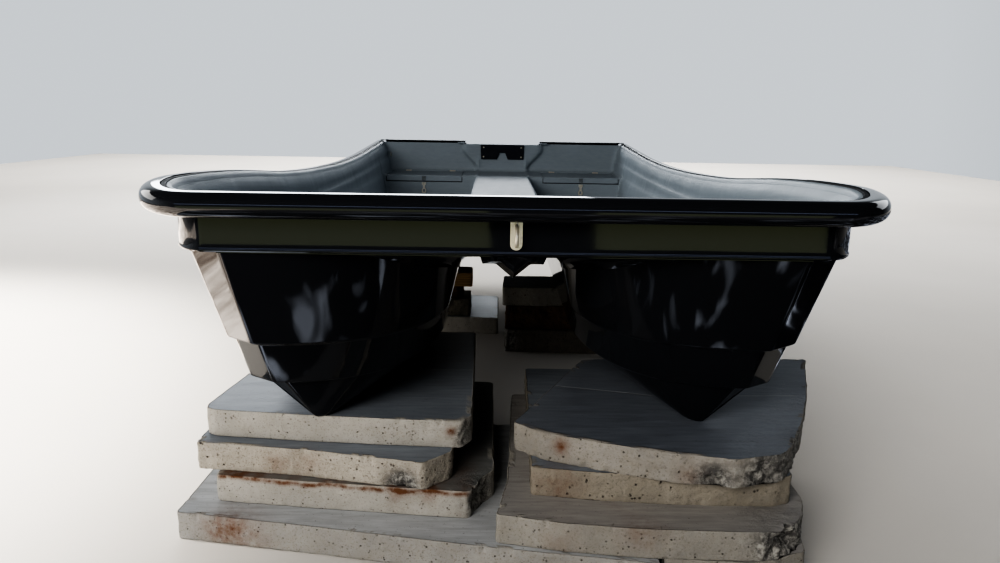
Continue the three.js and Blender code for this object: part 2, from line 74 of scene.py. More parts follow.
# The gunwale in plan: half beam, bow, and the two radii of its corners
HALF_BEAM = RAIL_BOX[1].x
BOW = RAIL_BOX[0].y
STERN = RAIL_BOX[1].y
CORNER_A = 0.188
CORNER_B = 0.308
BAND_INSET = HALF_BEAM - BAND_BOX[1].x
TRIM_INSET = 0.0443
WALL_INSET = 0.090
TRANSOM_RAKE = 0.12
TRANSOM_TOP = 0.873
NOTCH_TOP = 0.862
NOTCH_HALF = 0.243
KEEL = HULL_BOX[0].z
BENCH = LID_BOX[1].z
BENCH_FRONT = LID_BOX[0].y
SOLE = 0.440
TRANSOM_INSIDE = 1.727
# The tunnel's half width, and the motor box that widens from it above the waist, from which the
# cockpit's sides follow the sheer
TUNNEL_HALF = 0.158
WAIST = 0.690
BOX_SPREAD = 0.100
BOX_RISE = 0.145
BOX_FRONT = 1.685
BOX_SOFT = 0.045
# The throat behind the bow, and how far the cockpit's skin stands over the ledge and the tunnel
THROAT = 0.104
LEDGE_RISE = 0.016
DECK_RISE = 0.018
# Middle and half width of a locker's opening, and its two ends in y
LOCKER_MIDDLE = 0.479
LOCKER_HALF = 0.233
LOCKER_ENDS = (1.337, 1.7025)
SKIN = 0.005

# Rows of y and height: the gunwale, the ledge under the band, and the tunnel's roof
SHEER = ((-1.780, 0.904), (-1.500, 0.913), (-1.115, 0.897), (-0.500, 0.849), (0.250, 0.824),
         (0.800, 0.829), (1.250, 0.849), (1.780, 0.876))
LEDGE = ((-1.780, 0.776), (-1.100, 0.752), (-0.400, 0.728), (0.250, 0.721), (0.900, 0.727),
         (1.780, 0.752))
ROOF = ((-1.700, 0.770), (-1.100, 0.672), (1.780, 0.668))

# Plan outlines of the port hull from the keel up. Columns: height, bow face, x of the sharp front
# corner, side at the bow and further aft, length of the facets behind the corner, inner side,
# length of the rounded inner corner
HULL_LEVELS = (
    (KEEL, -1.466, 0.500, 0.506, 0.506, 0.030, 0.454, 0.070),
    (0.417, -1.538, 0.579, 0.680, 0.706, 0.085, 0.195, 0.620),
    (0.536, -1.610, 0.586, 0.690, 0.724, 0.095, 0.170, 0.480),
    (0.542, -1.626, 0.597, 0.706, 0.740, 0.105, 0.168, 0.470),
    (0.790, -1.716, 0.632, 0.763, 0.764, 0.130, 0.110, 0.420),
)
# Foot of the flat under the chine, from which the bottom falls to the keel
CHINE_FOOT = (0.413, -1.516, 0.558, 0.655, 0.682, 0.085, 0.214, 0.520)
# The same columns for the space in a foot well and, above it, for the cockpit's sides
WELL_LEVELS = (
    (SOLE, -1.488, 0.556, 0.642, 0.680, 0.080, 0.222, 0.600),
    (0.700, -1.664, 0.609, 0.725, 0.736, 0.120, 0.157, 0.440),
    (0.790, -1.698, 0.622, 0.745, 0.746, 0.130, 0.140, 0.420),
)
FLARE_FROM = -1.450
FLARE_TO = -0.700
CORNER_POWER = 2.4
FACET_SOFT = 0.02
# Half width of the straight bow under the band
BOW_HALF = 0.60
# Points along half the gunwale: its side, its rounded corner and its bow
SIDE_POINTS = 80
CORNER_POINTS = 36
BOW_POINTS = 20
# Points along a hull outline's inner side and along its bow face
INNER_POINTS = 14
FACE_POINTS = 64

# How far the cockpit's wall leans out, as depth under the sheer and distance
WALL_LEAN = ((0.010, 0.0235), (0.027, 0.0140), (0.040, 0.0080), (0.051, 0.0032), (0.060, 0.0008),
             (0.070, 0.0))
# Breaker under the bridge deck: y, half width, depth; the jump between two rows is its step
BREAKER = ((-1.705, 0.003, 0.000), (-1.640, 0.034, 0.026), (-1.632, 0.046, 0.038),
           (-1.500, 0.064, 0.054), (-1.330, 0.048, 0.038), (-1.180, 0.006, 0.000))


def metres(name, description, default):
    return FloatProperty(name=name, description=description, default=default, unit="LENGTH")


def tint(name, description, default):
    return FloatVectorProperty(name=name, description=description, default=default,
                               subtype="COLOR")


class BoatSizes(bpy.types.PropertyGroup):
    rail_depth: metres("Rail depth", "How far the rail's round stands out of its flats", 0.034)
    rail_power: FloatProperty(
        name="Rail roundness", description="Power of the rail's round section, 2 for a circle",
        default=2.35, min=2.0, max=6.0)
    laminate: metres("Laminate", "Thickness of the mouldings' walls", 0.007)
    hull_radius: metres("Hull edge radius", "Radius of the hulls' sharp front edges", 0.009)
    cockpit_radius: metres("Cockpit radius", "Softness of the cockpit's inner corners", 0.030)
    cell: metres("Cockpit cell", "Size of the cockpit moulding's faces", 0.0105)
    slab_step: metres("Slab step", "Size of the slabs' faces along their edges", 0.0045)


class BoatColours(bpy.types.PropertyGroup):
    black: tint("Black gelcoat", "Colour of the outer moulding", (0.0170, 0.0185, 0.0225))
    grey: tint("Grey gelcoat", "Colour of the cockpit moulding", (0.27, 0.315, 0.355))
    rubber: tint("Trim rubber", "Colour of the joint trim", (0.010, 0.010, 0.011))
    plastic: tint("Black plastic", "Colour of the caps and pads", (0.012, 0.012, 0.013))
    steel: tint("Stainless steel", "Colour of the fittings", (0.80, 0.74, 0.60))
    cream: tint("Slab faces", "Colour of the slabs' grainy edges", (0.45, 0.435, 0.40))
    # The slab tops' bluish tone is partly their own and partly painted shade of the sky
    slate: tint("Slab tops", "Colour of the slabs' smooth tops", (0.235, 0.260, 0.295))
    rust: tint("Rust stain", "Colour of the brown stains", (0.165, 0.075, 0.038))
    timber: tint("Timber", "Colour of the timber block", (0.40, 0.245, 0.095))
    floor: tint("Floor", "Colour of the plain floor", (0.60, 0.58, 0.55))


def sizes():
    return bpy.context.scene.boat_sizes


def colours():
    return bpy.context.scene.boat_colours


# Meshes from numpy grids

SIDES_OF_ROUND = 20


def in_scene(name, data):
    obj = bpy.data.objects.new(name, data)
    bpy.context.scene.collection.objects.link(obj)
    return obj


def at_height(outline, z):
    return np.column_stack([outline, np.full(len(outline), z)])


def corner_curve(start, corner, end, t):
    """Quadratic curve from start to end whose ends point at the corner."""
    return start * (1 - t) ** 2 + corner * 2 * t * (1 - t) + end * t * t


def outward_of(outline):
    """Unit normals of a closed plan outline, pointing out of it."""
    along = np.roll(outline, -1, axis=0) - np.roll(outline, 1, axis=0)
    outward = np.column_stack([along[:, 1], -along[:, 0]])
    outward /= np.linalg.norm(outward, axis=1, keepdims=True)
    u, v = outline.T
    clockwise = (u * np.roll(v, -1) - v * np.roll(u, -1)).sum() < 0
    return -outward if clockwise else outward


def ease(t):
    """0 to 1 with level ends: t squared times 3 - 2t."""
    t = np.clip(t, 0.0, 1.0)
    return t * t * (3.0 - 2.0 * t)


def knots_at(knots, y):
    """Height at y through rows of y and height: a Hermite curve whose slope at a knot is that of
    the line between its neighbours."""
    knot_y, knot_z = np.array(knots).T
    last = len(knot_y) - 1
    order = np.arange(last + 1)
    before = np.maximum(order - 1, 0)
    after = np.minimum(order + 1, last)
    slope = (knot_z[after] - knot_z[before]) / (knot_y[after] - knot_y[before])
    y = np.clip(y, knot_y[0], knot_y[-1])
    k = np.clip(np.searchsorted(knot_y, y, side="right") - 1, 0, last - 1)
    span = knot_y[k + 1] - knot_y[k]
    t = (y - knot_y[k]) / span
    rise = ease(t)
    return (knot_z[k] * (1 - rise) + knot_z[k + 1] * rise
            + span * (t * (1 - t) ** 2 * slope[k] - t * t * (1 - t) * slope[k + 1]))


def softened(rows, reaches, steps=5):
    """Rows of points joined by straight stretches whose corners are quadratic curves. A reach is
    the distance from a row's corner at which its curve starts and ends."""
    rows = np.asarray(rows, float)
    parts = [rows[:1]]
    t = np.linspace(0.0, 1.0, steps).reshape((steps,) + (1,) * (rows.ndim - 1))
    for k in range(1, len(rows) - 1):
        if reaches[k] == 0:
            parts.append(rows[k:k + 1])
            continue
        ends = []
        for other in (rows[k - 1], rows[k + 1]):
            away = other - rows[k]
            length = np.maximum(np.linalg.norm(away, axis=-1, keepdims=True), 1e-9)
            ends.append(rows[k] + away / length * np.minimum(reaches[k], length * 0.45))
        parts.append(corner_curve(ends[0], rows[k], ends[1], t))
    parts.append(rows[-1:])
    return np.concatenate(parts)


def rounded_outline(points, radius, steps=5):
    """Closed plan outline with its corners cut by quadratic curves that start a radius away from
    each corner, or at a third of a short side."""
    points = np.asarray(points, float)
    back = np.roll(points, 1, axis=0) - points
    on = np.roll(points, -1, axis=0) - points
    reach = []
    for side in (back, on):
        length = np.linalg.norm(side, axis=1, keepdims=True)
        reach.append(side / length * np.minimum(radius, length / 3))
    t = np.linspace(0.0, 1.0, steps).reshape(1, steps, 1)
    start = (points + reach[0])[:, None]
    end = (points + reach[1])[:, None]
    return corner_curve(start, points[:, None], end, t).reshape(-1, points.shape[1])


def resampled(outline, step, front, coarse=3.0):
    """Closed outline with points at even distances of about one step where y is below front, and
    of a few steps elsewhere."""
    closed = np.vstack([outline, outline[:1]])
    middle = (closed[1:, 1] + closed[:-1, 1]) / 2
    weight = np.where(middle < front, 1.0, 1.0 / coarse)
    along = np.r_[0.0, np.cumsum(np.linalg.norm(np.diff(closed, axis=0), axis=1) * weight)]
    count = max(8, int(round(along[-1] / step)))
    at = np.linspace(0.0, along[-1], count, endpoint=False)
    return np.column_stack([np.interp(at, along, closed[:, k]) for k in range(closed.shape[1])])


def grid_quads(rows, columns, wrap_rows):
    """Corner numbers of the quads of a grid whose points are numbered row by row and whose last
    column joins its first."""
    r = np.arange(rows if wrap_rows else rows - 1)[:, None]
    c = np.arange(columns)[None, :]
    r_next = (r + 1) % rows
    c_next = (c + 1) % columns
    return np.stack([r * columns + c, r * columns + c_next, r_next * columns + c_next,
                     r_next * columns + c], axis=-1).reshape(-1, 4)


def enclosed_volume(points, quads, caps):
    """Six times the volume inside a closed mesh: the sum of a dot b cross c over its triangles."""
    triangles = [quads[:, [0, 1, 2]], quads[:, [0, 2, 3]]]
    for cap in caps:
        cap = np.asarray(cap)
        fan = np.column_stack([np.full(len(cap) - 2, cap[0]), cap[1:-1], cap[2:]])
        triangles.append(fan)
    a, b, c = points[np.concatenate(triangles)].transpose(1, 0, 2)
    return float(np.einsum("ij,ij->i", a, np.cross(b, c)).sum())


def mesh_object(name, points, quads, caps=(), turn=True, sharp=35.0, attributes=None):
    """Object at the origin from points, quads and many-sided caps, its faces turned outwards."""
    points = np.ascontiguousarray(points.reshape(-1, 3), dtype=float)
    if turn and enclosed_volume(points, quads, caps) < 0:
        quads = quads[:, ::-1]
        caps = [np.asarray(cap)[::-1] for cap in caps]
    loops = np.concatenate([quads.ravel(), *[np.asarray(cap).ravel() for cap in caps]])
    counts = np.r_[np.full(len(quads), 4), [len(cap) for cap in caps]].astype(np.int64)
    mesh = bpy.data.meshes.new(name)
    mesh.vertices.add(len(points))
    mesh.vertices.foreach_set("co", points.ravel().astype(np.float32))
    mesh.loops.add(len(loops))
    mesh.loops.foreach_set("vertex_index", loops.astype(np.int32))
    mesh.polygons.add(len(counts))
    mesh.polygons.foreach_set("loop_start", np.r_[0, np.cumsum(counts)[:-1]].astype(np.int32))
    mesh.update(calc_edges=True)
    mesh.validate()
    mesh.shade_smooth()
    mesh.set_sharp_from_angle(angle=math.radians(sharp))
    for key, values in (attributes or {}).items():
        layer = mesh.attributes.new(key, "FLOAT", "POINT")
        layer.data.foreach_set("value", np.ascontiguousarray(values, dtype=np.float32).ravel())
    return in_scene(name, mesh)


def sheet_object(name, grid, wrap_rows=False, **options):
    """Closed object from a grid of points, a ring to each row: the last row joins the first, or
    both get flat caps."""
    rows, columns = grid.shape[:2]
    ring = np.arange(columns)
    caps = [] if wrap_rows else [ring[::-1], (rows - 1) * columns + ring]
    return mesh_object(name, grid, grid_quads(rows, columns, wrap_rows), caps, **options)


def joined(name, objects):
    """One object out of several, each already in place."""
    with bpy.context.temp_override(active_object=objects[0], object=objects[0],
                                   selected_objects=objects, selected_editable_objects=objects):
        bpy.ops.object.join()
    objects[0].name = name
    objects[0].data.name = name
    return objects[0]


def plate_object(name, outline, low, high, soft, place, corner=0.002, **options):
    """Plate of one outline between two depths with softened edges. The outline is in u and v, the
    depth is w, and place gives the point of each u, v and w."""
    outline = rounded_outline(outline, corner, 4)
    inner = outline - outward_of(outline) * soft
    rings = [at_height(plan, w)
             for plan, w in ((inner, low), (outline, low), (outline, high), (inner, high))]
    grid = softened(np.stack(rings), [0, soft, soft, 0], 4)
    points = np.stack(place(grid[..., 0], grid[..., 1], grid[..., 2]), axis=-1)
    return sheet_object(name, points, **options)


def box_object(name, low, high, soft=0.0015):
    """Box with softened edges."""
    (x0, y0, z0), (x1, y1, z1) = low, high
    return plate_object(name, [(x0, y0), (x1, y0), (x1, y1), (x0, y1)], z0, z1, soft,
                        lambda u, v, w: (u, v, w), soft)


def turned_object(name, profile, base, axis):
    """Solid of revolution about an axis through base: rows of radius and distance along it."""
    axis = np.asarray(axis, float) / np.linalg.norm(axis)
    side = np.cross(axis, (1.0, 0.0, 0.0) if abs(axis[0]) < 0.9 else (0.0, 1.0, 0.0))
    side /= np.linalg.norm(side)
    up = np.cross(axis, side)
    turn = np.linspace(0, 2 * np.pi, SIDES_OF_ROUND, endpoint=False)
    round_ = np.cos(turn)[:, None] * side + np.sin(turn)[:, None] * up
    radius, along = np.asarray(profile, float).T
    grid = (np.asarray(base, float) + along[:, None, None] * axis
            + radius[:, None, None] * round_[None])
    return sheet_object(name, grid)


def tube_object(name, path, radius, sides=14):
    """Round bar along a path: a circle in the plane across each point's direction."""
    path = np.asarray(path, float)
    along = np.gradient(path, axis=0)
    along /= np.linalg.norm(along, axis=1, keepdims=True)
    flat = path - path.mean(axis=0)
    normal = np.linalg.svd(flat)[2][-1]
    normal = np.broadcast_to(normal, along.shape)
    side = np.cross(along, normal)
    side /= np.linalg.norm(side, axis=1, keepdims=True)
    up = np.cross(side, along)
    turn = np.linspace(0, 2 * np.pi, sides, endpoint=False)[None, :, None]
    grid = path[:, None] + radius * (np.cos(turn) * side[:, None] + np.sin(turn) * up[:, None])
    return sheet_object(name, grid)


def mirrored(obj, name):
    """Copy of an object on the other side of the boat, its faces turned back outwards."""
    copy = obj.copy()
    copy.data = obj.data.copy()
    copy.name = name
    copy.data.name = name
    bpy.context.scene.collection.objects.link(copy)
    copy.data.transform(Matrix.Diagonal((-1, 1, 1, 1)))
    copy.data.flip_normals()
    return copy


def with_mirror(port, stem):
    """The port piece and its mirror to starboard, each after the name of its side."""
    return ("port", port), ("starboard", mirrored(port, f"{stem}_starboard"))


def finish_piece(obj, look, body=BOAT, replaces=(), even_normals=False):
    """Gives a piece its finish and its body, evens its normals if asked and hides the frame's nodes
    that it replaces.
    """
    give_finish(obj, look)
    if even_normals:
        modifier = obj.modifiers.new("even_normals", "WEIGHTED_NORMAL")
        modifier.keep_sharp = True
        modifier.weight = 60
    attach(obj, body)
    if replaces:
        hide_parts(*replaces)
    return obj


def lattice_noise(points, size, seed, octaves=3):
    """Smooth random field from -1 to 1: hashed values at the corners of a lattice of this size,
    blended by ease, with finer lattices of half the weight added."""
    total = np.zeros(len(points))
    weight_sum = 0.0
    for octave in range(octaves):
        scaled = points / size * 2 ** octave + 37.0 * (seed + octave)
        cell = np.floor(scaled).astype(np.int64)
        blend = ease(scaled - cell)
        value = np.zeros(len(points))
        for corner in range(8):
            offset = np.array([corner & 1, corner >> 1 & 1, corner >> 2])
            key = (cell + offset) @ np.array([374761393, 668265263, 1274126177]) + seed * 97
            key = (key ^ key >> 13) * 1103515245 & 0xFFFFFFFF
            share = np.where(offset, blend, 1 - blend).prod(axis=1)
            value += share * ((key ^ key >> 16) & 0xFFFF) / 0xFFFF
        weight = 0.5 ** octave
        total += weight * (value * 2 - 1)
        weight_sum += weight
    return total / weight_sum


# Finishes


THIN_FILM = (0.42, 0.40, 0.36, 1.0)
BRUSHED_PALE = (0.44, 0.48, 0.50, 1.0)
GREY_SPECK = (0.10, 0.11, 0.12, 1.0)
TARNISH = (0.34, 0.27, 0.18, 1.0)
SAND_BROWN = (0.30, 0.265, 0.20, 1.0)
SAND_GRAIN = (0.22, 0.20, 0.165, 1.0)
# Near black painted into the slabs' pits as their shade
PIT_SHADE = (0.06, 0.05, 0.04, 1.0)
RUBBLE_DARK = (0.13, 0.125, 0.12, 1.0)
RUBBLE_PALE = (0.46, 0.45, 0.42, 1.0)
SOOT = (0.06, 0.06, 0.06, 1.0)
CUT_PALE = (0.42, 0.43, 0.44, 1.0)
# Near black painted into the stones' pits as their shade
STONE_PIT_SHADE = (0.03, 0.022, 0.016, 1.0)
SOFT_GRAIN = (0.52, 0.36, 0.17, 1.0)


class Tree:
    """Small helper over one node tree: adds a node and links or sets its inputs by name."""

    def __init__(self, tree):
        self.tree = tree

    def add(self, kind, settings=None, **inputs):
        node = self.tree.nodes.new(kind)
        for key, value in (settings or {}).items():
            setattr(node, key, value)
        for key, value in inputs.items():
            self.feed(node, key, value)
        return node

    def feed(self, node, key, value):
        socket = node.inputs[int(key[1:])] if key[1:].isdigit() else node.inputs[key.replace("_", " ")]
        if isinstance(value, bpy.types.NodeSocket):
            self.tree.links.new(value, socket)
        else:
            socket.default_value = value

    def maths(self, operation, a, b=0.0, clamp=False):
        return self.add("ShaderNodeMath", {"operation": operation, "use_clamp": clamp},
                        i0=a, i1=b).outputs[0]

    def times(self, a, b, clamp=False):
        return self.maths("MULTIPLY", a, b, clamp)

    def plus(self, a, b, clamp=False):
        return self.maths("ADD", a, b, clamp)

    def blend(self, share, a, b):
        return self.add("ShaderNodeMix", {"data_type": "RGBA"}, i0=share, i6=a, i7=b).outputs[2]

    def span(self, value, low, high, to_low=0.0, to_high=1.0):
        node = self.add("ShaderNodeMapRange", {"clamp": True}, Value=value, From_Min=low,
                        From_Max=high, To_Min=to_low, To_Max=to_high)
        return node.outputs["Result"]

    def noise(self, vector, scale, detail=3.0, roughness=0.55, distortion=0.0):
        node = self.add("ShaderNodeTexNoise", None, Vector=vector, Scale=scale, Detail=detail,
                        Roughness=roughness, Distortion=distortion)
        return node.outputs["Fac"]

    def patches(self, vector, scale, detail, roughness, low, high):
        return self.span(self.noise(vector, scale, detail, roughness), low, high)

    def bump(self, height, strength, distance, normal=None):
        node = self.add("ShaderNodeBump", None, Height=height, Strength=strength,
                        Distance=distance)
        if normal is not None:
            self.feed(node, "Normal", normal)
        return node.outputs["Normal"]

    def part(self, vector, axis):
        return self.add("ShaderNodeSeparateXYZ", None, Vector=vector).outputs[axis]

    def dot(self, a, b):
        node = self.add("ShaderNodeVectorMath", {"operation": "DOT_PRODUCT"}, i0=a, i1=b)
        return node.outputs["Value"]

    def stretched(self, vector, scale):
        return self.add("ShaderNodeMapping", None, Vector=vector, Scale=scale).outputs[0]

    def attribute(self, name):
        return self.add("ShaderNodeAttribute", {"attribute_name": name}).outputs["Fac"]

    def place(self):
        return self.add("ShaderNodeTexCoord").outputs["Object"]

    def group(self, tree, **inputs):
        node = self.tree.nodes.new("ShaderNodeGroup")
        node.node_tree = tree
        for key, value in inputs.items():
            self.feed(node, key, value)
        return node


def new_group(name, inputs, outputs):
    """Empty node group with named inputs (name, kind, default) and outputs (name, kind)."""
    tree = bpy.data.node_groups.new(name, "ShaderNodeTree")
    for label, kind, default in inputs:
        socket = tree.interface.new_socket(label, in_out="INPUT", socket_type="NodeSocket" + kind)
        if default is not None:
            socket.default_value = default
    for label, kind in outputs:
        tree.interface.new_socket(label, in_out="OUTPUT", socket_type="NodeSocket" + kind)
    return Tree(tree), tree.nodes.new("NodeGroupInput"), tree.nodes.new("NodeGroupOutput")


def grain_group():
    """Grain: fine grains and pits as a height and a pit mask; the finishes darken the pits with
    painted shade.
    """
    if "Grain" in bpy.data.node_groups:
        return bpy.data.node_groups["Grain"]
    t, source, out = new_group(
        "Grain", [("Vector", "Vector", None), ("Scale", "Float", 90.0), ("Pits", "Float", 0.3)],
        [("Height", "Float"), ("Pits", "Float")])
    vector = source.outputs["Vector"]
    fine = t.noise(vector, source.outputs["Scale"], 4.0, 0.65)
    coarse = t.noise(vector, t.times(source.outputs["Scale"], 0.22), 3.0)
    cells = t.add("ShaderNodeTexVoronoi", {"feature": "F1"}, Vector=vector,
                  Scale=t.times(source.outputs["Scale"], 0.75)).outputs["Distance"]
    where = t.noise(vector, t.times(source.outputs["Scale"], 0.35), 2.0)
    hole = t.span(cells, 0.12, 0.30, 1.0, 0.0)
    pits = t.times(hole, t.span(where, 0.50, 0.66))
    pits = t.times(pits, source.outputs["Pits"], clamp=True)
    height = t.plus(t.times(fine, 0.6), t.times(coarse, 0.5))
    height = t.maths("SUBTRACT", height, pits)
    t.tree.links.new(height, out.inputs["Height"])
    t.tree.links.new(pits, out.inputs["Pits"])
    return t.tree


def dust_group():
    """Dust: thin soft film on surfaces that look up, broken by a slow noise."""
    if "Dust" in bpy.data.node_groups:
        return bpy.data.node_groups["Dust"]
    t, source, out = new_group(
        "Dust", [("Vector", "Vector", None), ("Scale", "Float", 6.0), ("Amount", "Float", 0.3)],
        [("Mask", "Float")])
    up = t.part(t.add("ShaderNodeNewGeometry").outputs["Normal"], "Z")
    film = t.span(t.noise(source.outputs["Vector"], source.outputs["Scale"], 5.0, 0.6), 0.32, 0.72)
    mask = t.times(t.span(up, 0.2, 0.95), film)
    t.tree.links.new(t.times(mask, source.outputs["Amount"], clamp=True), out.inputs["Mask"])
    return t.tree


def waver_group():
    """Waver: slow waves of a hand-laid laminate and its fine print-through as one normal."""
    if "Waver" in bpy.data.node_groups:
        return bpy.data.node_groups["Waver"]
    t, source, out = new_group(
        "Waver", [("Vector", "Vector", None), ("Slow", "Float", 3.0), ("Depth", "Float", 0.1),
                  ("Fine", "Float", 60.0), ("Print", "Float", 0.02)], [("Normal", "Vector")])
    vector = source.outputs["Vector"]
    slow = t.noise(vector, source.outputs["Slow"], 1.5, 0.45, 0.4)
    fine = t.noise(vector, source.outputs["Fine"], 2.0, 0.5)
    first = t.bump(slow, source.outputs["Depth"], 0.05)
    second = t.bump(fine, source.outputs["Print"], 0.002, first)
    t.tree.links.new(second, out.inputs["Normal"])
    return t.tree


def new_finish(name):
    """Material with a bare Principled shader; returns it with its tree helper and shader."""
    finish = bpy.data.materials.new(f"{name}_finish")
    finish.use_nodes = True
    return finish, Tree(finish.node_tree), finish.node_tree.nodes["Principled BSDF"]


def paint(colour, share=1.0):
    return (*[min(c * share, 1) for c in colour], 1.0)


def black_gelcoat(name):
    """Deep gloss black with slow waves in its reflections and a little dust where it looks up."""
    finish, t, shader = new_finish(name)
    place = t.place()
    dust = t.group(dust_group(), Vector=place, Scale=7.0, Amount=0.015).outputs["Mask"]
    smear = t.patches(place, 9.0, 4.0, 0.6, 0.35, 0.75)
    t.feed(shader, "Base Color", t.blend(dust, paint(colours().black), (0.20, 0.19, 0.17, 1.0)))
    rough = t.plus(t.times(smear, 0.03), 0.045)
    t.feed(shader, "Roughness", t.plus(rough, t.times(dust, 0.9)))
    normal = t.group(waver_group(), Vector=place, Slow=2.6, Depth=0.034, Fine=55.0,
                     Print=0.01).outputs["Normal"]
    t.feed(shader, "Normal", normal)
    shader.inputs["IOR"].default_value = 1.44
    return finish


def grey_gelcoat(name):
    """Satin light blue-grey gelcoat with brushed streaks and the laminate's faint print."""
    finish, t, shader = new_finish(name)
    place = t.place()
    streaks = t.stretched(place, (4.0, 0.8, 14.0))
    cloud = t.span(t.noise(place, 2.4, 3.0), 0.3, 0.7)
    brushed = t.patches(streaks, 6.0, 5.0, 0.6, 0.3, 0.72)
    speck = t.patches(place, 120.0, 3.0, 0.7, 0.62, 0.74)
    base = colours().grey
    colour = t.blend(cloud, paint(base, 0.92), paint(base, 1.06))
    colour = t.blend(t.times(brushed, 0.16), colour, BRUSHED_PALE)
    colour = t.blend(t.times(speck, 0.10), colour, GREY_SPECK)
    dust = t.group(dust_group(), Vector=place, Scale=5.0, Amount=0.10).outputs["Mask"]
    t.feed(shader, "Base Color", t.blend(dust, colour, THIN_FILM))
    matt = t.plus(t.times(dust, 0.3), 0.34)
    t.feed(shader, "Roughness", t.plus(t.times(brushed, 0.10), matt))
    shader.inputs["Specular IOR Level"].default_value = 0.18
    normal = t.group(waver_group(), Vector=place, Slow=7.0, Depth=0.10, Fine=42.0,
                     Print=0.20).outputs["Normal"]
    t.feed(shader, "Normal", normal)
    return finish


def dark_moulding(name, colour, roughness, grain):
    """Black rubber or plastic: even colour broken by a fine grain and rubbed paler patches."""
    finish, t, shader = new_finish(name)
    place = t.place()
    rub = t.patches(place, 26.0, 4.0, 0.6, 0.45, 0.75)
    t.feed(shader, "Base Color", t.blend(t.times(rub, 0.35), paint(colour),
                                         paint([c * 3 + 0.006 for c in colour])))
    t.feed(shader, "Roughness", t.plus(t.times(rub, 0.15), roughness))
    t.feed(shader, "Normal", t.bump(t.noise(place, 420.0, 2.0), grain, 0.0006))
    return finish


def stainless(name):
    """Satin stainless steel with fine scratches along the pieces and dull spots."""
    finish, t, shader = new_finish(name)
    place = t.place()
    along = t.stretched(place, (260.0, 260.0, 14.0))
    scratch = t.noise(along, 3.0, 3.0, 0.6)
    spots = t.span(t.noise(place, 90.0, 3.0), 0.5, 0.75)
    t.feed(shader, "Base Color", t.blend(t.times(spots, 0.4), paint(colours().steel), TARNISH))
    dull = t.plus(t.times(spots, 0.15), 0.26)
    t.feed(shader, "Roughness", t.plus(t.times(scratch, 0.16), dull))
    t.feed(shader, "Normal", t.bump(scratch, 0.08, 0.0006))
    shader.inputs["Metallic"].default_value = 0.6
    return finish


def groove_mask(t, place, lines):
    """1 on straight shallow grooves in a slab's top, each given by its two ends in plan."""
    total = 0.0
    for x0, y0, x1, y1 in lines:
        length = math.hypot(x1 - x0, y1 - y0)
        u, v = (x1 - x0) / length, (y1 - y0) / length
        away = t.add("ShaderNodeVectorMath", {"operation": "SUBTRACT"}, i0=place, i1=(x0, y0, 0.0))
        along = t.dot(away.outputs[0], (u, v, 0.0))
        off = t.dot(away.outputs[0], (-v, u, 0.0))
        line = t.span(t.maths("ABSOLUTE", off), 0.0012, 0.0032, 1.0, 0.0)
        ends = t.times(t.span(along, 0.0, 0.01), t.span(along, length - 0.01, length, 1.0, 0.0))
        total = t.plus(total, t.times(line, ends), True)
    return total


def concrete(name, cream, slate, gloss, grit=1.0, grooves=()):
    """Cast slab: smooth top whose bluish tone is partly its own and partly painted shade of the sky,
    grainy cream faces with pits darkened as painted shade, stains from the piece's own attributes,
    torn grey rubble and grooves in the top."""
    finish, t, shader = new_finish(name)
    place = t.place()
    face = t.attribute("face")
    stain = t.attribute("stain")
    torn = t.attribute("torn")
    cut = t.times(groove_mask(t, place, grooves), t.maths("SUBTRACT", 1.0, face))
    grain = t.group(grain_group(), Vector=place, Scale=170.0 - 60.0 * grit, Pits=1.0)
    patches = t.patches(place, 7.0, 5.0, 0.6, 0.32, 0.70)
    mottle = t.patches(place, 38.0, 5.0, 0.7, 0.3, 0.72)
    sand = t.blend(patches, paint(cream, 0.86), paint(cream, 1.12))
    sand = t.blend(t.times(mottle, 0.22 + 0.20 * grit), sand, SAND_BROWN)
    peppered = t.patches(place, 210.0, 2.0, 0.7, 0.56, 0.66)
    sand = t.blend(t.times(peppered, 0.25 + 0.45 * grit), sand, SAND_GRAIN)
    # Painted shade: the pits darkened nearly to black
    sand = t.blend(t.times(grain.outputs["Pits"], 0.85), sand, PIT_SHADE)
    lumps = t.patches(place, 55.0, 5.0, 0.75, 0.42, 0.60)
    rubble = t.blend(lumps, RUBBLE_DARK, RUBBLE_PALE)
    sand = t.blend(torn, sand, rubble)
    streaks = t.stretched(place, (1.2, 9.0, 1.0))
    trowel = t.patches(streaks, 7.0, 6.0, 0.62, 0.3, 0.72)
    # Top colour: partly the slab's own, partly painted bluish shade of the sky
    smooth = t.blend(trowel, paint(slate, 0.80), paint(slate, 1.22))
    speck = t.patches(place, 130.0, 3.0, 0.7, 0.64, 0.72)
    smooth = t.blend(t.times(speck, 0.55), smooth, SOOT)
    colour = t.blend(face, smooth, sand)
    spread = t.times(stain, t.patches(place, 30.0, 6.0, 0.7, 0.28, 0.66))
    colour = t.blend(t.times(spread, 0.9, clamp=True), colour, paint(colours().rust))
    colour = t.blend(t.times(cut, 0.6), colour, CUT_PALE)
    t.feed(shader, "Base Color", colour)
    matt = t.plus(t.times(trowel, 0.12), gloss)
    t.feed(shader, "Roughness", t.plus(t.times(face, 0.9 - gloss), matt))
    rough = t.times(grain.outputs["Height"], t.plus(t.times(face, 0.94), 0.06))
    rough = t.plus(rough, t.times(torn, lumps))
    normal = t.bump(rough, min(1.0, 0.45 + 0.35 * grit), 0.005)
    t.feed(shader, "Normal", t.bump(t.times(cut, -1.0), 0.5, 0.004, normal))
    shader.inputs["Specular IOR Level"].default_value = 0.45
    return finish


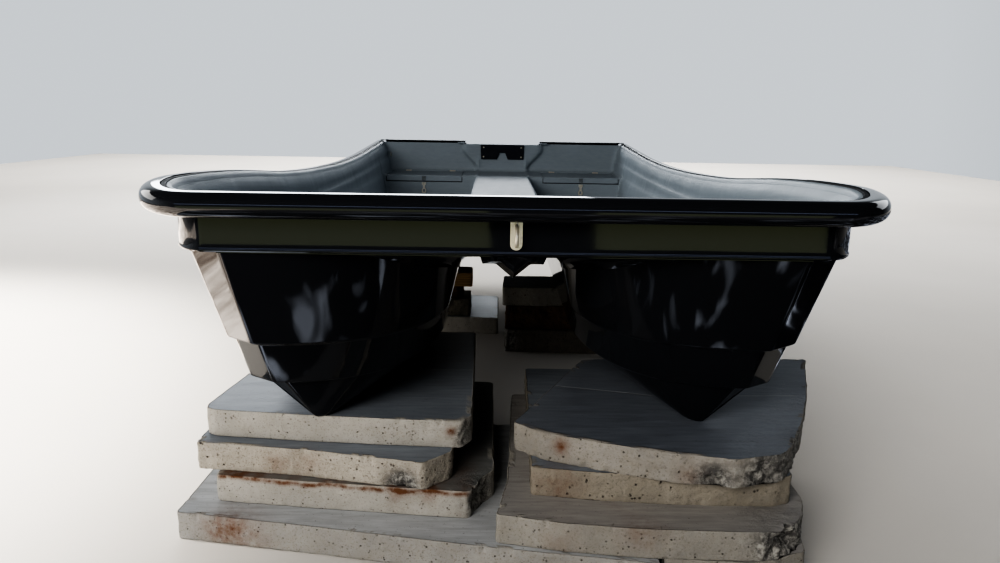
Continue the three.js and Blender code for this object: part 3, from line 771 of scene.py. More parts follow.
def rubble_stone(name, light, dark):
    """Brown rubble: two earthy colours in patches, deep pits darkened as painted shade and a rough
    broken surface.
    """
    finish, t, shader = new_finish(name)
    place = t.place()
    grain = t.group(grain_group(), Vector=place, Scale=95.0, Pits=1.0)
    patches = t.patches(place, 16.0, 6.0, 0.65, 0.35, 0.66)
    colour = t.blend(patches, paint(dark), paint(light))
    # Painted shade: the pits darkened nearly to black
    colour = t.blend(t.times(grain.outputs["Pits"], 0.8), colour, STONE_PIT_SHADE)
    t.feed(shader, "Base Color", colour)
    t.feed(shader, "Normal", t.bump(grain.outputs["Height"], 0.8, 0.006))
    shader.inputs["Roughness"].default_value = 0.92
    return finish


def sawn_timber(name):
    """Golden sawn timber: growth rings stretched along the block, darker in the soft grain."""
    finish, t, shader = new_finish(name)
    place = t.place()
    stretched = t.stretched(place, (1.6, 22.0, 22.0))
    waves = t.add("ShaderNodeTexWave", {"wave_type": "BANDS", "bands_direction": "Z"},
                  Vector=stretched, Scale=1.6, Distortion=7.0, Detail=4.0, Detail_Scale=1.5)
    rings = waves.outputs["Fac"]
    fibre = t.noise(stretched, 9.0, 5.0, 0.65)
    base = colours().timber
    colour = t.blend(rings, paint(base), paint(base, 0.45))
    colour = t.blend(t.span(fibre, 0.35, 0.75, 0.0, 0.5), colour, SOFT_GRAIN)
    t.feed(shader, "Base Color", colour)
    t.feed(shader, "Normal", t.bump(t.plus(rings, fibre), 0.4, 0.0015))
    shader.inputs["Roughness"].default_value = 0.72
    return finish


FINISH_MAKERS = {
    "black_gelcoat": black_gelcoat,
    "grey_gelcoat": grey_gelcoat,
    "trim_rubber": lambda name: dark_moulding(name, colours().rubber, 0.55, 0.25),
    "black_plastic": lambda name: dark_moulding(name, colours().plastic, 0.36, 0.35),
    "keeper_rubber": lambda name: dark_moulding(name, (0.15, 0.17, 0.18), 0.5, 0.3),
    "stainless": stainless,
    "slab_pale": lambda name: concrete(name, colours().cream, colours().slate, 0.34, 0.45,
                                  [(-0.355, -1.092, -0.10, -1.088)]),
    "slab_lower": lambda name: concrete(name, (0.46, 0.445, 0.41), (0.20, 0.205, 0.20), 0.5, 0.3),
    "slab_warm": lambda name: concrete(name, (0.46, 0.43, 0.38), colours().slate, 0.42, 1.0),
    # Right middle slab: faces darkened as painted shade
    "slab_shade": lambda name: concrete(name, (0.32, 0.295, 0.25), colours().slate, 0.5, 1.0),
    "slab_white": lambda name: concrete(name, (0.38, 0.375, 0.36), (0.46, 0.475, 0.49), 0.5, 0.6),
    # Right base, right lower slab and the right pile's wedge: faces darkened as painted shade
    "slab_ash": lambda name: concrete(name, (0.34, 0.33, 0.305), (0.36, 0.345, 0.33), 0.5, 0.6),
    # Right top slab: faces darkened as painted shade, its dark bluish top partly painted shade of the
    # sky
    "slab_slate": lambda name: concrete(name, (0.34, 0.325, 0.30), (0.19, 0.21, 0.245), 0.3, 0.8,
                                   [(0.133, -1.213, 0.412, -1.284), (0.412, -1.284, 0.82, -1.267)]),
    "slab_dark": lambda name: concrete(name, (0.115, 0.105, 0.095), (0.20, 0.19, 0.17), 0.55, 0.9),
    "stone_light": lambda name: rubble_stone(name, (0.24, 0.225, 0.18), (0.14, 0.13, 0.105)),
    "stone_brown": lambda name: rubble_stone(name, (0.20, 0.12, 0.07), (0.08, 0.05, 0.035)),
    "timber": sawn_timber,
}


FINISHES = {}


def finish_of(name):
    """Finish of that name, made once. The frame's own materials have some of these names."""
    if name not in FINISHES:
        FINISHES[name] = FINISH_MAKERS[name](name)
    return FINISHES[name]


def give_finish(obj, name):
    obj.data.materials.clear()
    obj.data.materials.append(finish_of(name))


# Lines and outlines of the boat


def transom_y(z):
    """The raked transom: y falls with depth under its top."""
    return STERN - (TRANSOM_TOP - z) * TRANSOM_RAKE


def gunwale_plan(inset, stern):
    """Half the gunwale in plan, port stern to the middle of the bow, one column for each inset:
    a straight side, a quarter ellipse moved in along its normal, and the straight bow."""
    inset = np.atleast_1d(np.asarray(inset, float))[None, :]
    stern = np.broadcast_to(np.atleast_1d(np.asarray(stern, float))[None, :], inset.shape)
    side_end = BOW + CORNER_B
    share = np.linspace(0, 1, SIDE_POINTS, endpoint=False)[:, None]
    side = np.stack([HALF_BEAM - inset + 0 * share, stern + (side_end - stern) * share], axis=-1)
    turn = np.linspace(0, np.pi / 2, CORNER_POINTS)[:, None]
    normal = np.stack([np.cos(turn) / CORNER_A, np.sin(turn) / CORNER_B], axis=-1)
    normal /= np.linalg.norm(normal, axis=-1, keepdims=True)
    arc = np.stack([HALF_BEAM - CORNER_A + CORNER_A * np.cos(turn) - normal[..., 0] * inset,
                    side_end - CORNER_B * np.sin(turn) + normal[..., 1] * inset], axis=-1)
    share = np.linspace(0, 1, BOW_POINTS)[1:, None]
    bow = np.stack([(HALF_BEAM - CORNER_A) * (1 - share) + 0 * inset, BOW + inset + 0 * share],
                   axis=-1)
    return np.concatenate([side, arc, bow])


def both_halves(half):
    """Port half and its mirror, joined at the middle of the bow."""
    return np.concatenate([half, half[-2::-1] * np.array([-1, 1] + [1] * (half.shape[-1] - 2))])


def along_gunwale(section, stern):
    """Strip of constant section: columns of the section are inset and height over the sheer."""
    section = np.asarray(section, float)
    plan = both_halves(gunwale_plan(section[:, 0], stern))
    z = knots_at(SHEER, plan[..., 1]) + section[None, :, 1]
    return np.concatenate([plan, z[..., None]], axis=-1)


def facet_corners(front, corner, side, facet):
    """Ends of the two facets that turn from a hull's sharp corner to its side."""
    return (side - (side - corner) * 0.3, front + facet * 0.55), (side, front + facet * 1.6)


def hull_outline(level, inset, radius):
    """Closed plan outline of the port hull at one level, the same number of points at each:
    inner side, superelliptic bow face, rounded sharp corner, two facets, flaring side, transom."""
    z, front, corner, side, aft, facet, inner, length = level
    stern = transom_y(z) - inset
    front, side, aft = front + inset, side - inset, aft - inset
    corner, inner = corner - inset / 2, inner + inset
    start = front + length
    reach = min(radius, (corner - inner) / 3, facet / 4)
    straight = np.linspace(0, 1, INNER_POINTS, endpoint=False)[:, None]
    heel = np.array([inner, stern - 2 * reach])
    parts = [heel + (np.array([inner, start]) - heel) * straight]
    end = np.arccos((reach / (corner - inner)) ** (CORNER_POWER / 2))
    turn = np.linspace(0, 1, FACE_POINTS) * end
    face = np.column_stack([corner - (corner - inner) * np.cos(turn) ** (2 / CORNER_POWER),
                            start - length * np.sin(turn) ** (2 / CORNER_POWER)])
    knuckle, shoulder = np.array(facet_corners(front, corner, side, facet))
    edge = [face[-1], np.array([corner, front]), knuckle, shoulder]
    parts.append(face)
    t = np.linspace(0, 1, 7)[:, None]
    for k in (1, 2):
        back = edge[k - 1] - edge[k]
        on = edge[k + 1] - edge[k]
        a = edge[k] + back / np.linalg.norm(back) * reach
        b = edge[k] + on / np.linalg.norm(on) * reach
        curve = corner_curve(a, edge[k], b, t)
        parts.append(curve[1:] if k == 1 else curve)
        onward = edge[k + 1] if k == 1 else shoulder
        parts.append(b + (onward - b) * np.linspace(0, 1, 7)[1:-1, None])
    run = (np.linspace(0, 1, 56) ** 1.25)[:, None]
    y = shoulder[1] + (stern - 2 * reach - shoulder[1]) * run
    flare = ease((y - FLARE_FROM) / (FLARE_TO - FLARE_FROM))
    parts.append(np.column_stack([side + (aft - side) * flare, y]))
    quarter = np.array([aft, stern])
    before = parts[-1][-1]
    after = quarter - np.array([2 * reach, 0])
    parts.append(corner_curve(before, quarter, after, t)[1:])
    last = np.array([inner + 2 * reach, stern])
    parts.append(after + (last - after) * np.linspace(0, 1, 10)[1:, None])
    tip = np.array([inner, stern])
    parts.append(corner_curve(last, tip, heel, t)[1:-1])
    return at_height(np.concatenate(parts), z)


def smooth_max(a, b, width):
    """Larger of two fields, their meeting line rounded over this width."""
    share = np.clip(0.5 + 0.5 * (a - b) / width, 0.0, 1.0)
    return a * share + b * (1 - share) + width * share * (1 - share)


def smooth_min(a, b, width):
    return -smooth_max(-a, -b, width)


def hull_plan_field(x, y, z):
    """Signed distance, about, to the outline that WELL_LEVELS gives at each height: the largest of
    the flaring side, the two facets and the superelliptic bow face."""
    levels = np.array(WELL_LEVELS)
    front, corner, side, aft, facet, inner, length = (
        np.interp(z, levels[:, 0], levels[:, k]) for k in range(1, 8))
    start = front + length
    flare = ease((y - FLARE_FROM) / (FLARE_TO - FLARE_FROM))
    to_side = x - (side + (aft - side) * flare)
    across = np.maximum(corner - x, 1e-4) / (corner - inner)
    ahead = np.maximum(start - y, 1e-4) / length
    level = across ** CORNER_POWER + ahead ** CORNER_POWER
    reach = level ** (1 / CORNER_POWER)
    steep = level ** (1 / CORNER_POWER - 1)
    slope = np.hypot(steep * across ** (CORNER_POWER - 1) / (corner - inner),
                     steep * ahead ** (CORNER_POWER - 1) / length)
    to_face = (reach - 1) / np.maximum(slope, 0.6)
    field = smooth_max(to_side, to_face, FACET_SOFT)
    knuckle, shoulder = facet_corners(front, corner, side, facet)
    for a, b in (((corner, front), knuckle), (knuckle, shoulder)):
        dx, dy = b[0] - a[0], b[1] - a[1]
        length_ab = np.hypot(dx, dy)
        to_facet = ((x - a[0]) * dy - (y - a[1]) * dx) / length_ab
        field = smooth_max(field, to_facet, FACET_SOFT)
    return field


def cockpit_field(x, y, z):
    """Below 0 inside the open space of the cockpit. It is the space above the ledge, joined with
    the space above bench height and the two foot wells, less the motor box, all with soft edges."""
    soft = sizes().cockpit_radius
    x = np.abs(x)
    lean = np.interp(knots_at(SHEER, y) - z, *np.array(WALL_LEAN).T)
    reach_x, reach_y = CORNER_A - WALL_INSET + lean, CORNER_B - WALL_INSET + lean
    across = (x - HALF_BEAM + CORNER_A) / reach_x
    ahead = (BOW + CORNER_B - y) / reach_y
    level = np.maximum(np.hypot(across, ahead), 1e-6)
    slope = np.maximum(np.hypot(across / reach_x, ahead / reach_y), 1e-6)
    flat = np.maximum((across - 1) * reach_x, (ahead - 1) * reach_y)
    rim = np.where((across > 0) & (ahead > 0), level * (level - 1) / slope, flat)
    upper = smooth_max(rim, knots_at(LEDGE, y) + LEDGE_RISE - z, soft * 0.6)
    plan = hull_plan_field(x, y, z)
    well = smooth_max(plan, SOLE - z, soft * 1.3)
    well = smooth_max(well, y - BENCH_FRONT, soft * 0.5)
    channel = smooth_max(x - TUNNEL_HALF, BOW + THROAT - y, soft)
    deck = np.maximum(BENCH, knots_at(ROOF, y) + DECK_RISE)
    beside = smooth_max(np.minimum(plan, channel), deck - z, soft * 0.5)
    space = smooth_min(well, beside, soft * 0.62)
    space = smooth_min(space, upper, soft * 0.5)
    space = smooth_max(space, y - TRANSOM_INSIDE, soft)
    half = TUNNEL_HALF + BOX_SPREAD * ease((z - WAIST) / BOX_RISE) + 0.004
    box = smooth_max(x - half, BOX_FRONT - y, BOX_SOFT)
    return smooth_max(space, -box, soft * 0.9)


def surface_cells(field, xs, ys, level_of, levels):
    """Zero surface of a field over a warped lattice. Each lattice cell that the surface crosses
    gets one point, the mean of the crossings on its edges, and each lattice edge that it crosses
    gets one quad between the four cells round it."""
    x, y = np.meshgrid(xs, ys, indexing="ij")
    z = level_of(y[..., None], levels[None, None, :])
    lattice = np.stack(np.broadcast_arrays(x[..., None], y[..., None], z), axis=-1)
    value = field(lattice[..., 0], lattice[..., 1], lattice[..., 2])
    inside = value < 0
    shape = np.array(value.shape) - 1
    total = np.zeros((*shape, 3))
    count = np.zeros(shape)
    edges = []
    for axis in range(3):
        low = [slice(None)] * 3
        high = [slice(None)] * 3
        low[axis] = slice(None, -1)
        high[axis] = slice(1, None)
        low, high = tuple(low), tuple(high)
        crossed = inside[low] != inside[high]
        share = np.where(crossed, value[low] / np.where(crossed, value[low] - value[high], 1), 0)
        point = lattice[low] + (lattice[high] - lattice[low]) * share[..., None]
        point *= crossed[..., None]
        others = [k for k in range(3) if k != axis]
        for first in (0, 1):
            for second in (0, 1):
                pick = [slice(None)] * 3
                pick[others[0]] = slice(first, first + shape[others[0]])
                pick[others[1]] = slice(second, second + shape[others[1]])
                total += point[tuple(pick)]
                count += crossed[tuple(pick)]
        edges.append((axis, others, crossed, inside[low]))
    active = count > 0
    number = np.full(shape, -1)
    number[active] = np.arange(active.sum())
    points = total[active] / count[active][:, None]
    quads = []
    for axis, others, crossed, starts_inside in edges:
        inner = [slice(None)] * 3
        for k in others:
            inner[k] = slice(1, -1)
        at = np.argwhere(crossed[tuple(inner)])
        flip = starts_inside[tuple(inner)][tuple(at.T)]
        at[:, others] += 1
        corners = []
        for first, second in ((1, 1), (0, 1), (0, 0), (1, 0)):
            cell = at.copy()
            cell[:, others[0]] -= first
            cell[:, others[1]] -= second
            corners.append(number[tuple(cell.T)])
        quad = np.column_stack(corners)
        if axis == 1:
            flip = ~flip
        quad[flip] = quad[flip][:, ::-1]
        quads.append(quad)
    return points, np.concatenate(quads)


def settled(field, points, rounds=3, step=1e-4):
    """Points moved onto the field's zero surface by Newton steps along its slope."""
    for _ in range(rounds):
        value = field(*points.T)
        slope = np.column_stack([
            (field(*(points + offset).T) - field(*(points - offset).T)) / (2 * step)
            for offset in np.eye(3) * step])
        size = np.maximum((slope ** 2).sum(axis=1), 0.2)
        points = points - np.clip(value / size, -0.004, 0.004)[:, None] * slope
    return points


# The outer moulding


def build_rail():
    """Gunwale rail of round section, flat above and below, from one quarter round to the other."""
    s = sizes()
    low, high = -0.052, 0.0
    middle, half = (low + high) / 2, (high - low) / 2
    turn = np.linspace(-np.pi / 2, np.pi / 2, 25)
    power = 2 / s.rail_power
    out = s.rail_depth * (1 - np.abs(np.cos(turn)) ** power)
    rise = middle + half * np.sign(np.sin(turn)) * np.abs(np.sin(turn)) ** power
    soft = 0.0008
    behind = BAND_INSET - 0.0004
    step = TRIM_INSET - 0.0006
    step_depth, back_rise = 0.020, 0.010
    section = [(behind, low), *zip(out, rise), (step - soft, high), (step, high - soft),
               (step, high - step_depth), (behind, low + back_rise)]
    rail = sheet_object("gunwale_rail_round", along_gunwale(section, STERN - 0.001))
    finish_piece(rail, "black_gelcoat", replaces=["gunwale_rail"])


def build_trim():
    """Rubber strip over the joint of the two mouldings and the liner's rolled rim inside it."""
    near = TRIM_INSET
    rows = [(0.0, -0.0085), (0.0, -0.0034), (0.0012, -0.0024), (0.0095, -0.0024),
            (0.0110, -0.0036), (0.0115, -0.0085)]
    section = [(near + inward, rise) for inward, rise in rows]
    trim = sheet_object("joint_trim_strip", along_gunwale(section, STERN - 0.003))
    finish_piece(trim, "trim_rubber", replaces=["joint_trim"])
    near += 0.0119
    rows = [(0.0, -0.0130), (0.0, -0.0056), (0.0014, -0.0042), (0.0055, -0.0040), (0.0088, -0.0052),
            (0.0116, -0.0082), (0.0136, -0.0122), (0.0162, -0.0190), (0.0100, -0.0190)]
    section = [(near + inward, rise) for inward, rise in rows]
    rim = sheet_object("liner_rim", along_gunwale(section, TRANSOM_INSIDE + 0.004))
    finish_piece(rim, "grey_gelcoat")


def ray_lengths(origins, directions, outline):
    """Distance from each origin along its direction to a closed outline in plan, infinite where
    the ray misses it."""
    start = outline[:, :2]
    side = np.roll(start, -1, axis=0) - start
    away = start[None] - origins[:, None]
    turn = directions[:, None, 0] * side[None, :, 1] - directions[:, None, 1] * side[None, :, 0]
    turn = np.where(np.abs(turn) < 1e-12, 1e-12, turn)
    along = (away[..., 0] * side[None, :, 1] - away[..., 1] * side[None, :, 0]) / turn
    share = (away[..., 0] * directions[:, None, 1] - away[..., 1] * directions[:, None, 0]) / turn
    hit = (share >= 0) & (share <= 1) & (along > 0)
    return np.where(hit, along, np.inf).min(axis=1)


def build_band():
    """Upper band of the outer moulding: a wall under the rail with a lip at its lower edge and a
    plate reaching in over the hulls, closed across the raked transom."""
    lip, wall, inside, reach = 0.0712, 0.0731, 0.0795, 0.0910
    over_hull, bow_reach = (0.010, 0.060), 0.021
    inner_top, inner_drop = -0.003, -0.047
    # Columns: inset, 1 for the sheer or 0 for the ledge, height over that line
    section = [(reach, 0, 0.0), (lip + 0.003, 0, 0.0), (lip, 0, 0.003), (lip, 0, 0.0075),
               (wall, 0, 0.0105), (wall, 0, 0.030), (wall, 1, -0.050), (wall, 1, inner_top),
               (inside, 1, inner_top), (inside, 1, -0.060), (inside, 0, 0.012), (reach, 0, 0.008)]
    inset, upper, rise = np.array(section).T
    half = gunwale_plan(inset, STERN)
    edge = half[:, 6]
    inward = half[:, 8] - edge
    inward /= np.linalg.norm(inward, axis=1, keepdims=True)
    ledge_level = hull_rings(0.0, sizes().hull_radius)[-1]
    length = np.clip(ray_lengths(edge, inward, ledge_level) + 0.004, *over_hull)
    length[half[:, 0, 0] < BOW_HALF] = bow_reach
    half[:, [0, -1]] = (edge + inward * length[:, None])[:, None]
    plan = both_halves(half)
    across = np.linspace(-1, 1, 61)[1:-1, None]
    crossing = np.stack([across * (HALF_BEAM - inset[None]), STERN + 0 * across - 0 * inset], axis=-1)
    plan = np.concatenate([plan, crossing])
    sheer = knots_at(SHEER, plan[..., 1])
    at_stern = plan[..., 1] > STERN - 0.001
    notch = np.where(np.abs(plan[..., 0]) < NOTCH_HALF, NOTCH_TOP, TRANSOM_TOP + 0.003)
    top = np.where(at_stern, np.minimum(sheer, notch), sheer)
    lowered = np.where((rise == inner_top) & ~at_stern, inner_drop, 0.0)
    z = np.where(upper > 0.5, top, knots_at(LEDGE, plan[..., 1])) + rise + lowered
    depth = np.minimum(inset, 0.089) - wall
    rake = np.where(at_stern, (TRANSOM_TOP - z) * TRANSOM_RAKE + depth, 0)
    grid = np.stack([plan[..., 0], plan[..., 1] - rake, z], axis=-1)
    band = sheet_object("upper_band", grid, wrap_rows=True)
    finish_piece(band, "black_gelcoat", replaces=["upper_band", "bow_band"], even_normals=True)


def hull_rings(inset, radius):
    """Rings of a hull shell from the keel to its top edge, which follows the bridge deck's roof on
    the inner side and bow face and the ledge of the band on the outer side."""
    levels = [HULL_LEVELS[0], CHINE_FOOT, *HULL_LEVELS[1:]]
    rings = [hull_outline(level, inset, radius) for level in levels]
    rings[0][:, 2] += inset
    low, high = rings[-2], rings[-1]
    order = np.arange(len(low))
    inward = order < INNER_POINTS + FACE_POINTS - 2
    top = high.copy()
    for _ in range(3):
        edge = np.where(inward, knots_at(ROOF, top[:, 1]), knots_at(LEDGE, top[:, 1])) + 0.004
        share = ((edge - low[:, 2]) / (high[:, 2] - low[:, 2]))[:, None]
        top = low + (high - low) * share
    return [*rings[:-1], top]


def build_hulls():
    """Both hulls: closed shells lofted through the keel, chine and strake, their edges softened."""
    s = sizes()
    keel_flat = 0.012
    reaches = [0, 0.016, 0.003, 0.0035, 0.004, 0.004, 0]
    outer = hull_rings(0.0, s.hull_radius)
    middle = outer[0].mean(axis=0)
    keel = outer[0].copy()
    length = np.linalg.norm(keel[:, :2] - middle[:2], axis=1, keepdims=True)
    keel[:, :2] += (middle[:2] - keel[:, :2]) / length * keel_flat
    outside = softened([keel, *outer], reaches)
    inside = np.stack(hull_rings(s.laminate, s.hull_radius))
    grid = np.concatenate([outside, inside[::-1]])
    port = sheet_object("hull_shell_port", grid, sharp=50)
    for side, hull in with_mirror(port, "hull_shell"):
        finish_piece(hull, "black_gelcoat", replaces=[f"hull_{side}", f"hull_bow_{side}"],
                     even_normals=True)


def hull_inner_x(y, z):
    """Half width of the tunnel at y and height z: the hulls' straight inner sides, then the
    superelliptic bow faces that open towards the bow."""
    levels = np.array(HULL_LEVELS)[3:]
    front, corner, inner, length = (np.interp(z, levels[:, 0], levels[:, k]) for k in (1, 2, 6, 7))
    ahead = np.clip((front + length - y) / length, 0, 1)
    return corner - (corner - inner) * (1 - ahead ** CORNER_POWER) ** (1 / CORNER_POWER)


def build_bridge_deck():
    """Bridge deck between the hulls with coved sides, a stepped V breaker at its front and an end
    that turns up at the transom."""
    cove, plate, turn_up, turn_from = 0.032, 0.006, 0.022, 1.733
    overlap, sag_share, flange_share = 0.003, 0.9, 0.35
    y = np.r_[np.linspace(-1.712, -1.20, 60), np.linspace(-1.18, 1.73, 60)]
    z = knots_at(ROOF, y)
    turn = np.linspace(0, np.pi / 2, 8)[1:]
    y = np.r_[y, turn_from + turn_up * np.sin(turn), 1.7640]
    z = np.r_[z, z[-1] + turn_up * (1 - np.cos(turn)), 0.757]
    half = hull_inner_x(y, np.minimum(z, 0.78)) + overlap
    columns = np.linspace(-1, 1, 121)
    columns = np.sign(columns) * np.abs(columns) ** 1.2
    x = columns[None] * half[:, None]
    from_side = half[:, None] - np.abs(x)
    depth = np.clip(cove - from_side, 0, cove)
    fade = (ease((1.74 - y) / 0.05) * ease((y + 1.69) / 0.14))[:, None]
    sag = (cove - np.sqrt(np.maximum(cove ** 2 - depth ** 2, 0))) * sag_share * fade
    breaker = np.array(BREAKER)
    wide = np.interp(y, breaker[:, 0], breaker[:, 1], right=0.003)[:, None]
    deep = np.interp(y, breaker[:, 0], breaker[:, 2], right=0)[:, None]
    vee = deep * np.clip(1 - np.abs(x) / wide, 0, 1)
    flange = flange_share * deep * (1 - ease((np.abs(x) / wide - 1.15) / 0.12))
    under = z[:, None] - sag - np.maximum(vee, np.where(deep > 0, flange, 0))
    along = np.gradient(np.column_stack([y, z]), axis=0)
    along /= np.linalg.norm(along, axis=1, keepdims=True)
    lower = np.stack([x, y[:, None] + 0 * x, under], axis=-1)
    upper = np.stack([x, (y - along[:, 1] * plate)[:, None] + 0 * x,
                      (z + along[:, 0] * plate)[:, None] + 0 * x], axis=-1)
    grid = np.concatenate([lower, upper[:, ::-1]], axis=1)
    deck = sheet_object("bridge_shell", grid, sharp=30)
    finish_piece(deck, "black_gelcoat",
                 replaces=["bridge_deck", "transom_foot"])


# The cockpit


RIM_DROP = 0.0110
LATTICE_HALF = 0.786
UPPER_DEPTH = 0.20
# Stretches of the cockpit's lattice in y: start, end, size of its cells in cells
LATTICE_ROWS = ((-1.738, -1.45, 1.0), (-1.45, 1.30, 1.7), (1.30, 1.405, 0.8), (1.405, 1.65, 1.5),
                (1.65, 1.75, 0.8))


def build_liner():
    """Cockpit moulding: the zero surface of cockpit_field, thickened outwards, with the two
    locker openings cut into its benches."""
    cell = sizes().cell * 1.2
    xs = np.linspace(-LATTICE_HALF, LATTICE_HALF, int(2 * LATTICE_HALF / cell) | 1)
    ys = np.unique(np.concatenate([np.arange(start, end, cell * coarse)
                                   for start, end, coarse in LATTICE_ROWS]).round(5))
    upper_count = int(UPPER_DEPTH / cell)
    upper = WAIST + np.linspace(0, 1, upper_count)[1:-1]
    levels = np.r_[np.arange(SOLE - 0.008, WAIST, cell), upper, WAIST + 0.993, WAIST + 1]

    def level_of(y, level):
        rim = knots_at(SHEER, y) - RIM_DROP
        rim = np.where(y > TRANSOM_INSIDE - 0.03, TRANSOM_TOP - 0.006, rim)
        return np.where(level <= WAIST, level, WAIST + (level - WAIST) * (rim - WAIST))

    points, quads = surface_cells(cockpit_field, xs, ys, level_of, levels)
    points = settled(cockpit_field, points)
    used, numbers = np.unique(quads, return_inverse=True)
    liner = mesh_object("cockpit_moulding", points[used], numbers.reshape(quads.shape), turn=False,
                        sharp=180)
    wall = liner.modifiers.new("wall", "SOLIDIFY")
    wall.thickness = SKIN
    wall.offset = -1.0
    front, back = LOCKER_ENDS
    low, high = LID_BOX[0].z - 0.0045, 0.76
    cutters = []
    for side, sign in SIDES:
        middle = sign * LOCKER_MIDDLE
        cutters.append(box_object(f"cutter_{side}", (middle - LOCKER_HALF, front, low),
                                  (middle + LOCKER_HALF, back, high), 0.002))
    cutter = joined("cutter", cutters)
    cut = liner.modifiers.new("cut", "BOOLEAN")
    cut.operation = "DIFFERENCE"
    cut.solver = "MANIFOLD"
    cut.object = cutter
    graph = bpy.context.evaluated_depsgraph_get()
    shaped = bpy.data.meshes.new_from_object(liner.evaluated_get(graph))
    liner.modifiers.clear()
    liner.data = shaped
    shaped.name = "cockpit_moulding"
    shaped.shade_smooth()
    shaped.set_sharp_from_angle(angle=math.radians(62))
    bpy.data.objects.remove(cutter)
    finish_piece(liner, "grey_gelcoat", replaces=["cockpit_liner"], even_normals=True)


def rectangle_ring(x0, x1, y0, y1, z, radius=0.018):
    return at_height(rounded_outline([(x0, y0), (x1, y0), (x1, y1), (x0, y1)], radius, 7), z)


def build_lockers():
    """Locker tubs: double-walled, tapering down, with a landing flange under each lid."""
    # Columns: ends in x, ends in y, height
    rings = [(0.250, 0.640, 1.3525, 1.690, 0.438), (0.246, 0.655, 1.3525, 1.694, 0.450),
             (0.240, 0.716, 1.3525, 1.708, 0.640), (0.238, 0.720, 1.3525, 1.712, 0.668),
             (0.238, 0.720, 1.3525, 1.712, 0.6762), (0.262, 0.700, 1.368, 1.690, 0.6762),
             (0.263, 0.697, 1.370, 1.688, 0.664), (0.268, 0.632, 1.374, 1.678, 0.462),
             (0.276, 0.624, 1.382, 1.670, 0.448)]
    grid = softened([rectangle_ring(*ring) for ring in rings],
                    [0, 0.01, 0.01, 0.002, 0.002, 0.004, 0.004, 0.010, 0], 5)
    port = sheet_object("locker_tub_port", grid)
    for _, tub in with_mirror(port, "locker_tub"):
        finish_piece(tub, "grey_gelcoat", even_normals=True)


def build_gap_shade_strips():
    """Black strips behind the gaps round the lids' lips: painted shade in the gaps."""
    low, high = LID_BOX
    gap, near, far, below = 0.0042, 0.0064, 0.0074, 0.009
    strips = []
    for sign in (1, -1):
        ends = sorted((sign * (low.x - gap), sign * (high.x + gap)))
        strips.append(box_object("strip", (ends[0], BENCH_FRONT + near, low.z - gap),
                                 (ends[1], BENCH_FRONT + far, BENCH - below), 0.0003))
    gap_shade = joined("lid_gaskets", strips)
    finish_piece(gap_shade, "trim_rubber")


def build_lids():
    """Locker lids: plates with a lip over the bench front."""
    lid_low, lid_high = LID_BOX
    plate, lip = 0.006, lid_high.z - lid_low.z
    profile = [(lid_high.y, BENCH - plate), (lid_high.y, BENCH), (BENCH_FRONT, BENCH),
               (BENCH_FRONT, BENCH - lip), (BENCH_FRONT + plate, BENCH - lip),
               (BENCH_FRONT + plate, BENCH - plate)]
    port = plate_object("lid_port", profile, lid_low.x, lid_high.x, 0.0018,
                        lambda u, v, w: (w, u, v), 0.0045)
    for side, lid in with_mirror(port, "lid"):
        finish_piece(lid, "grey_gelcoat", LIDS[side], [f"locker_lid_{side}"], even_normals=True)


def build_transom_top():
    """Grey top of the motor box and of the transom beside it, below the black caps."""
    front, back, thick, under = 1.690, 1.768, 0.008, 0.0005
    # Columns: ends in x, top
    decks = ((-0.2405, 0.2405, NOTCH_TOP - under), (0.2445, 0.292, TRANSOM_TOP - under),
             (-0.292, -0.2445, TRANSOM_TOP - under))
    for k, (x0, x1, top) in enumerate(decks):
        deck = box_object(f"transom_deck_{k}", (x0, front, top - thick), (x1, back, top), 0.003)
        finish_piece(deck, "grey_gelcoat", even_normals=True)
    for side, sign in SIDES:
        low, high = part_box(f"transom_cap_{side}")
        a, b = sorted((sign * NOTCH_HALF, sign * 0.766))
        c, d = sorted((sign * 0.750, sign * 0.797))
        cap = joined(f"transom_strip_{side}", [
            box_object("inner", (a, low.y, low.z), (b, high.y, high.z), 0.003),
            box_object("outer", (c, low.y, high.z - 0.004), (d, high.y, high.z), 0.0015)])
        finish_piece(cap, "black_plastic", replaces=[f"transom_cap_{side}"], even_normals=True)


# Fittings


def build_pads():
    """Motor pads: the inside one has a V notch and four screws, the outside one is raked."""
    low, high = PAD_BOX
    foot, top, rise, taper = 0.035, 0.018, low.z + 0.042, 0.004
    outline = [(low.x + taper, low.z), (-foot, low.z), (-top, rise), (top, rise), (foot, low.z),
               (high.x - taper, low.z), (high.x, high.z), (low.x, high.z)]
    pad = plate_object("pad_inside", outline, low.y, high.y, 0.0015, lambda u, v, w: (u, w, v), 0.003)
    finish_piece(pad, "black_plastic", replaces=["motor_pad_inside"], even_normals=True)
    profile = [(0.0055, 0.0), (0.0055, 0.0012), (0.0045, 0.0022), (0.0025, 0.0028), (0.0006, 0.003)]
    places = [(x, z) for x in (-0.122, 0.122) for z in (low.z + 0.016, high.z - 0.018)]
    screws = [turned_object(f"screw_{k}", profile, (x, low.y, z), (0, -1, 0))
              for k, (x, z) in enumerate(places)]
    finish_piece(joined("pad_screws", screws), "stainless")
    half, foot, top = 0.140, 0.6655, 0.8530
    outline = [(-half, foot), (half, foot), (half, top), (-half, top)]
    outside = plate_object(
        "pad_outside", outline, 0.0006, 0.0100, 0.002,
        lambda u, v, w: (u, transom_y(v) + w, v + w * TRANSOM_RAKE), 0.006)
    finish_piece(outside, "black_plastic", replaces=["motor_pad_outside"], even_normals=True)


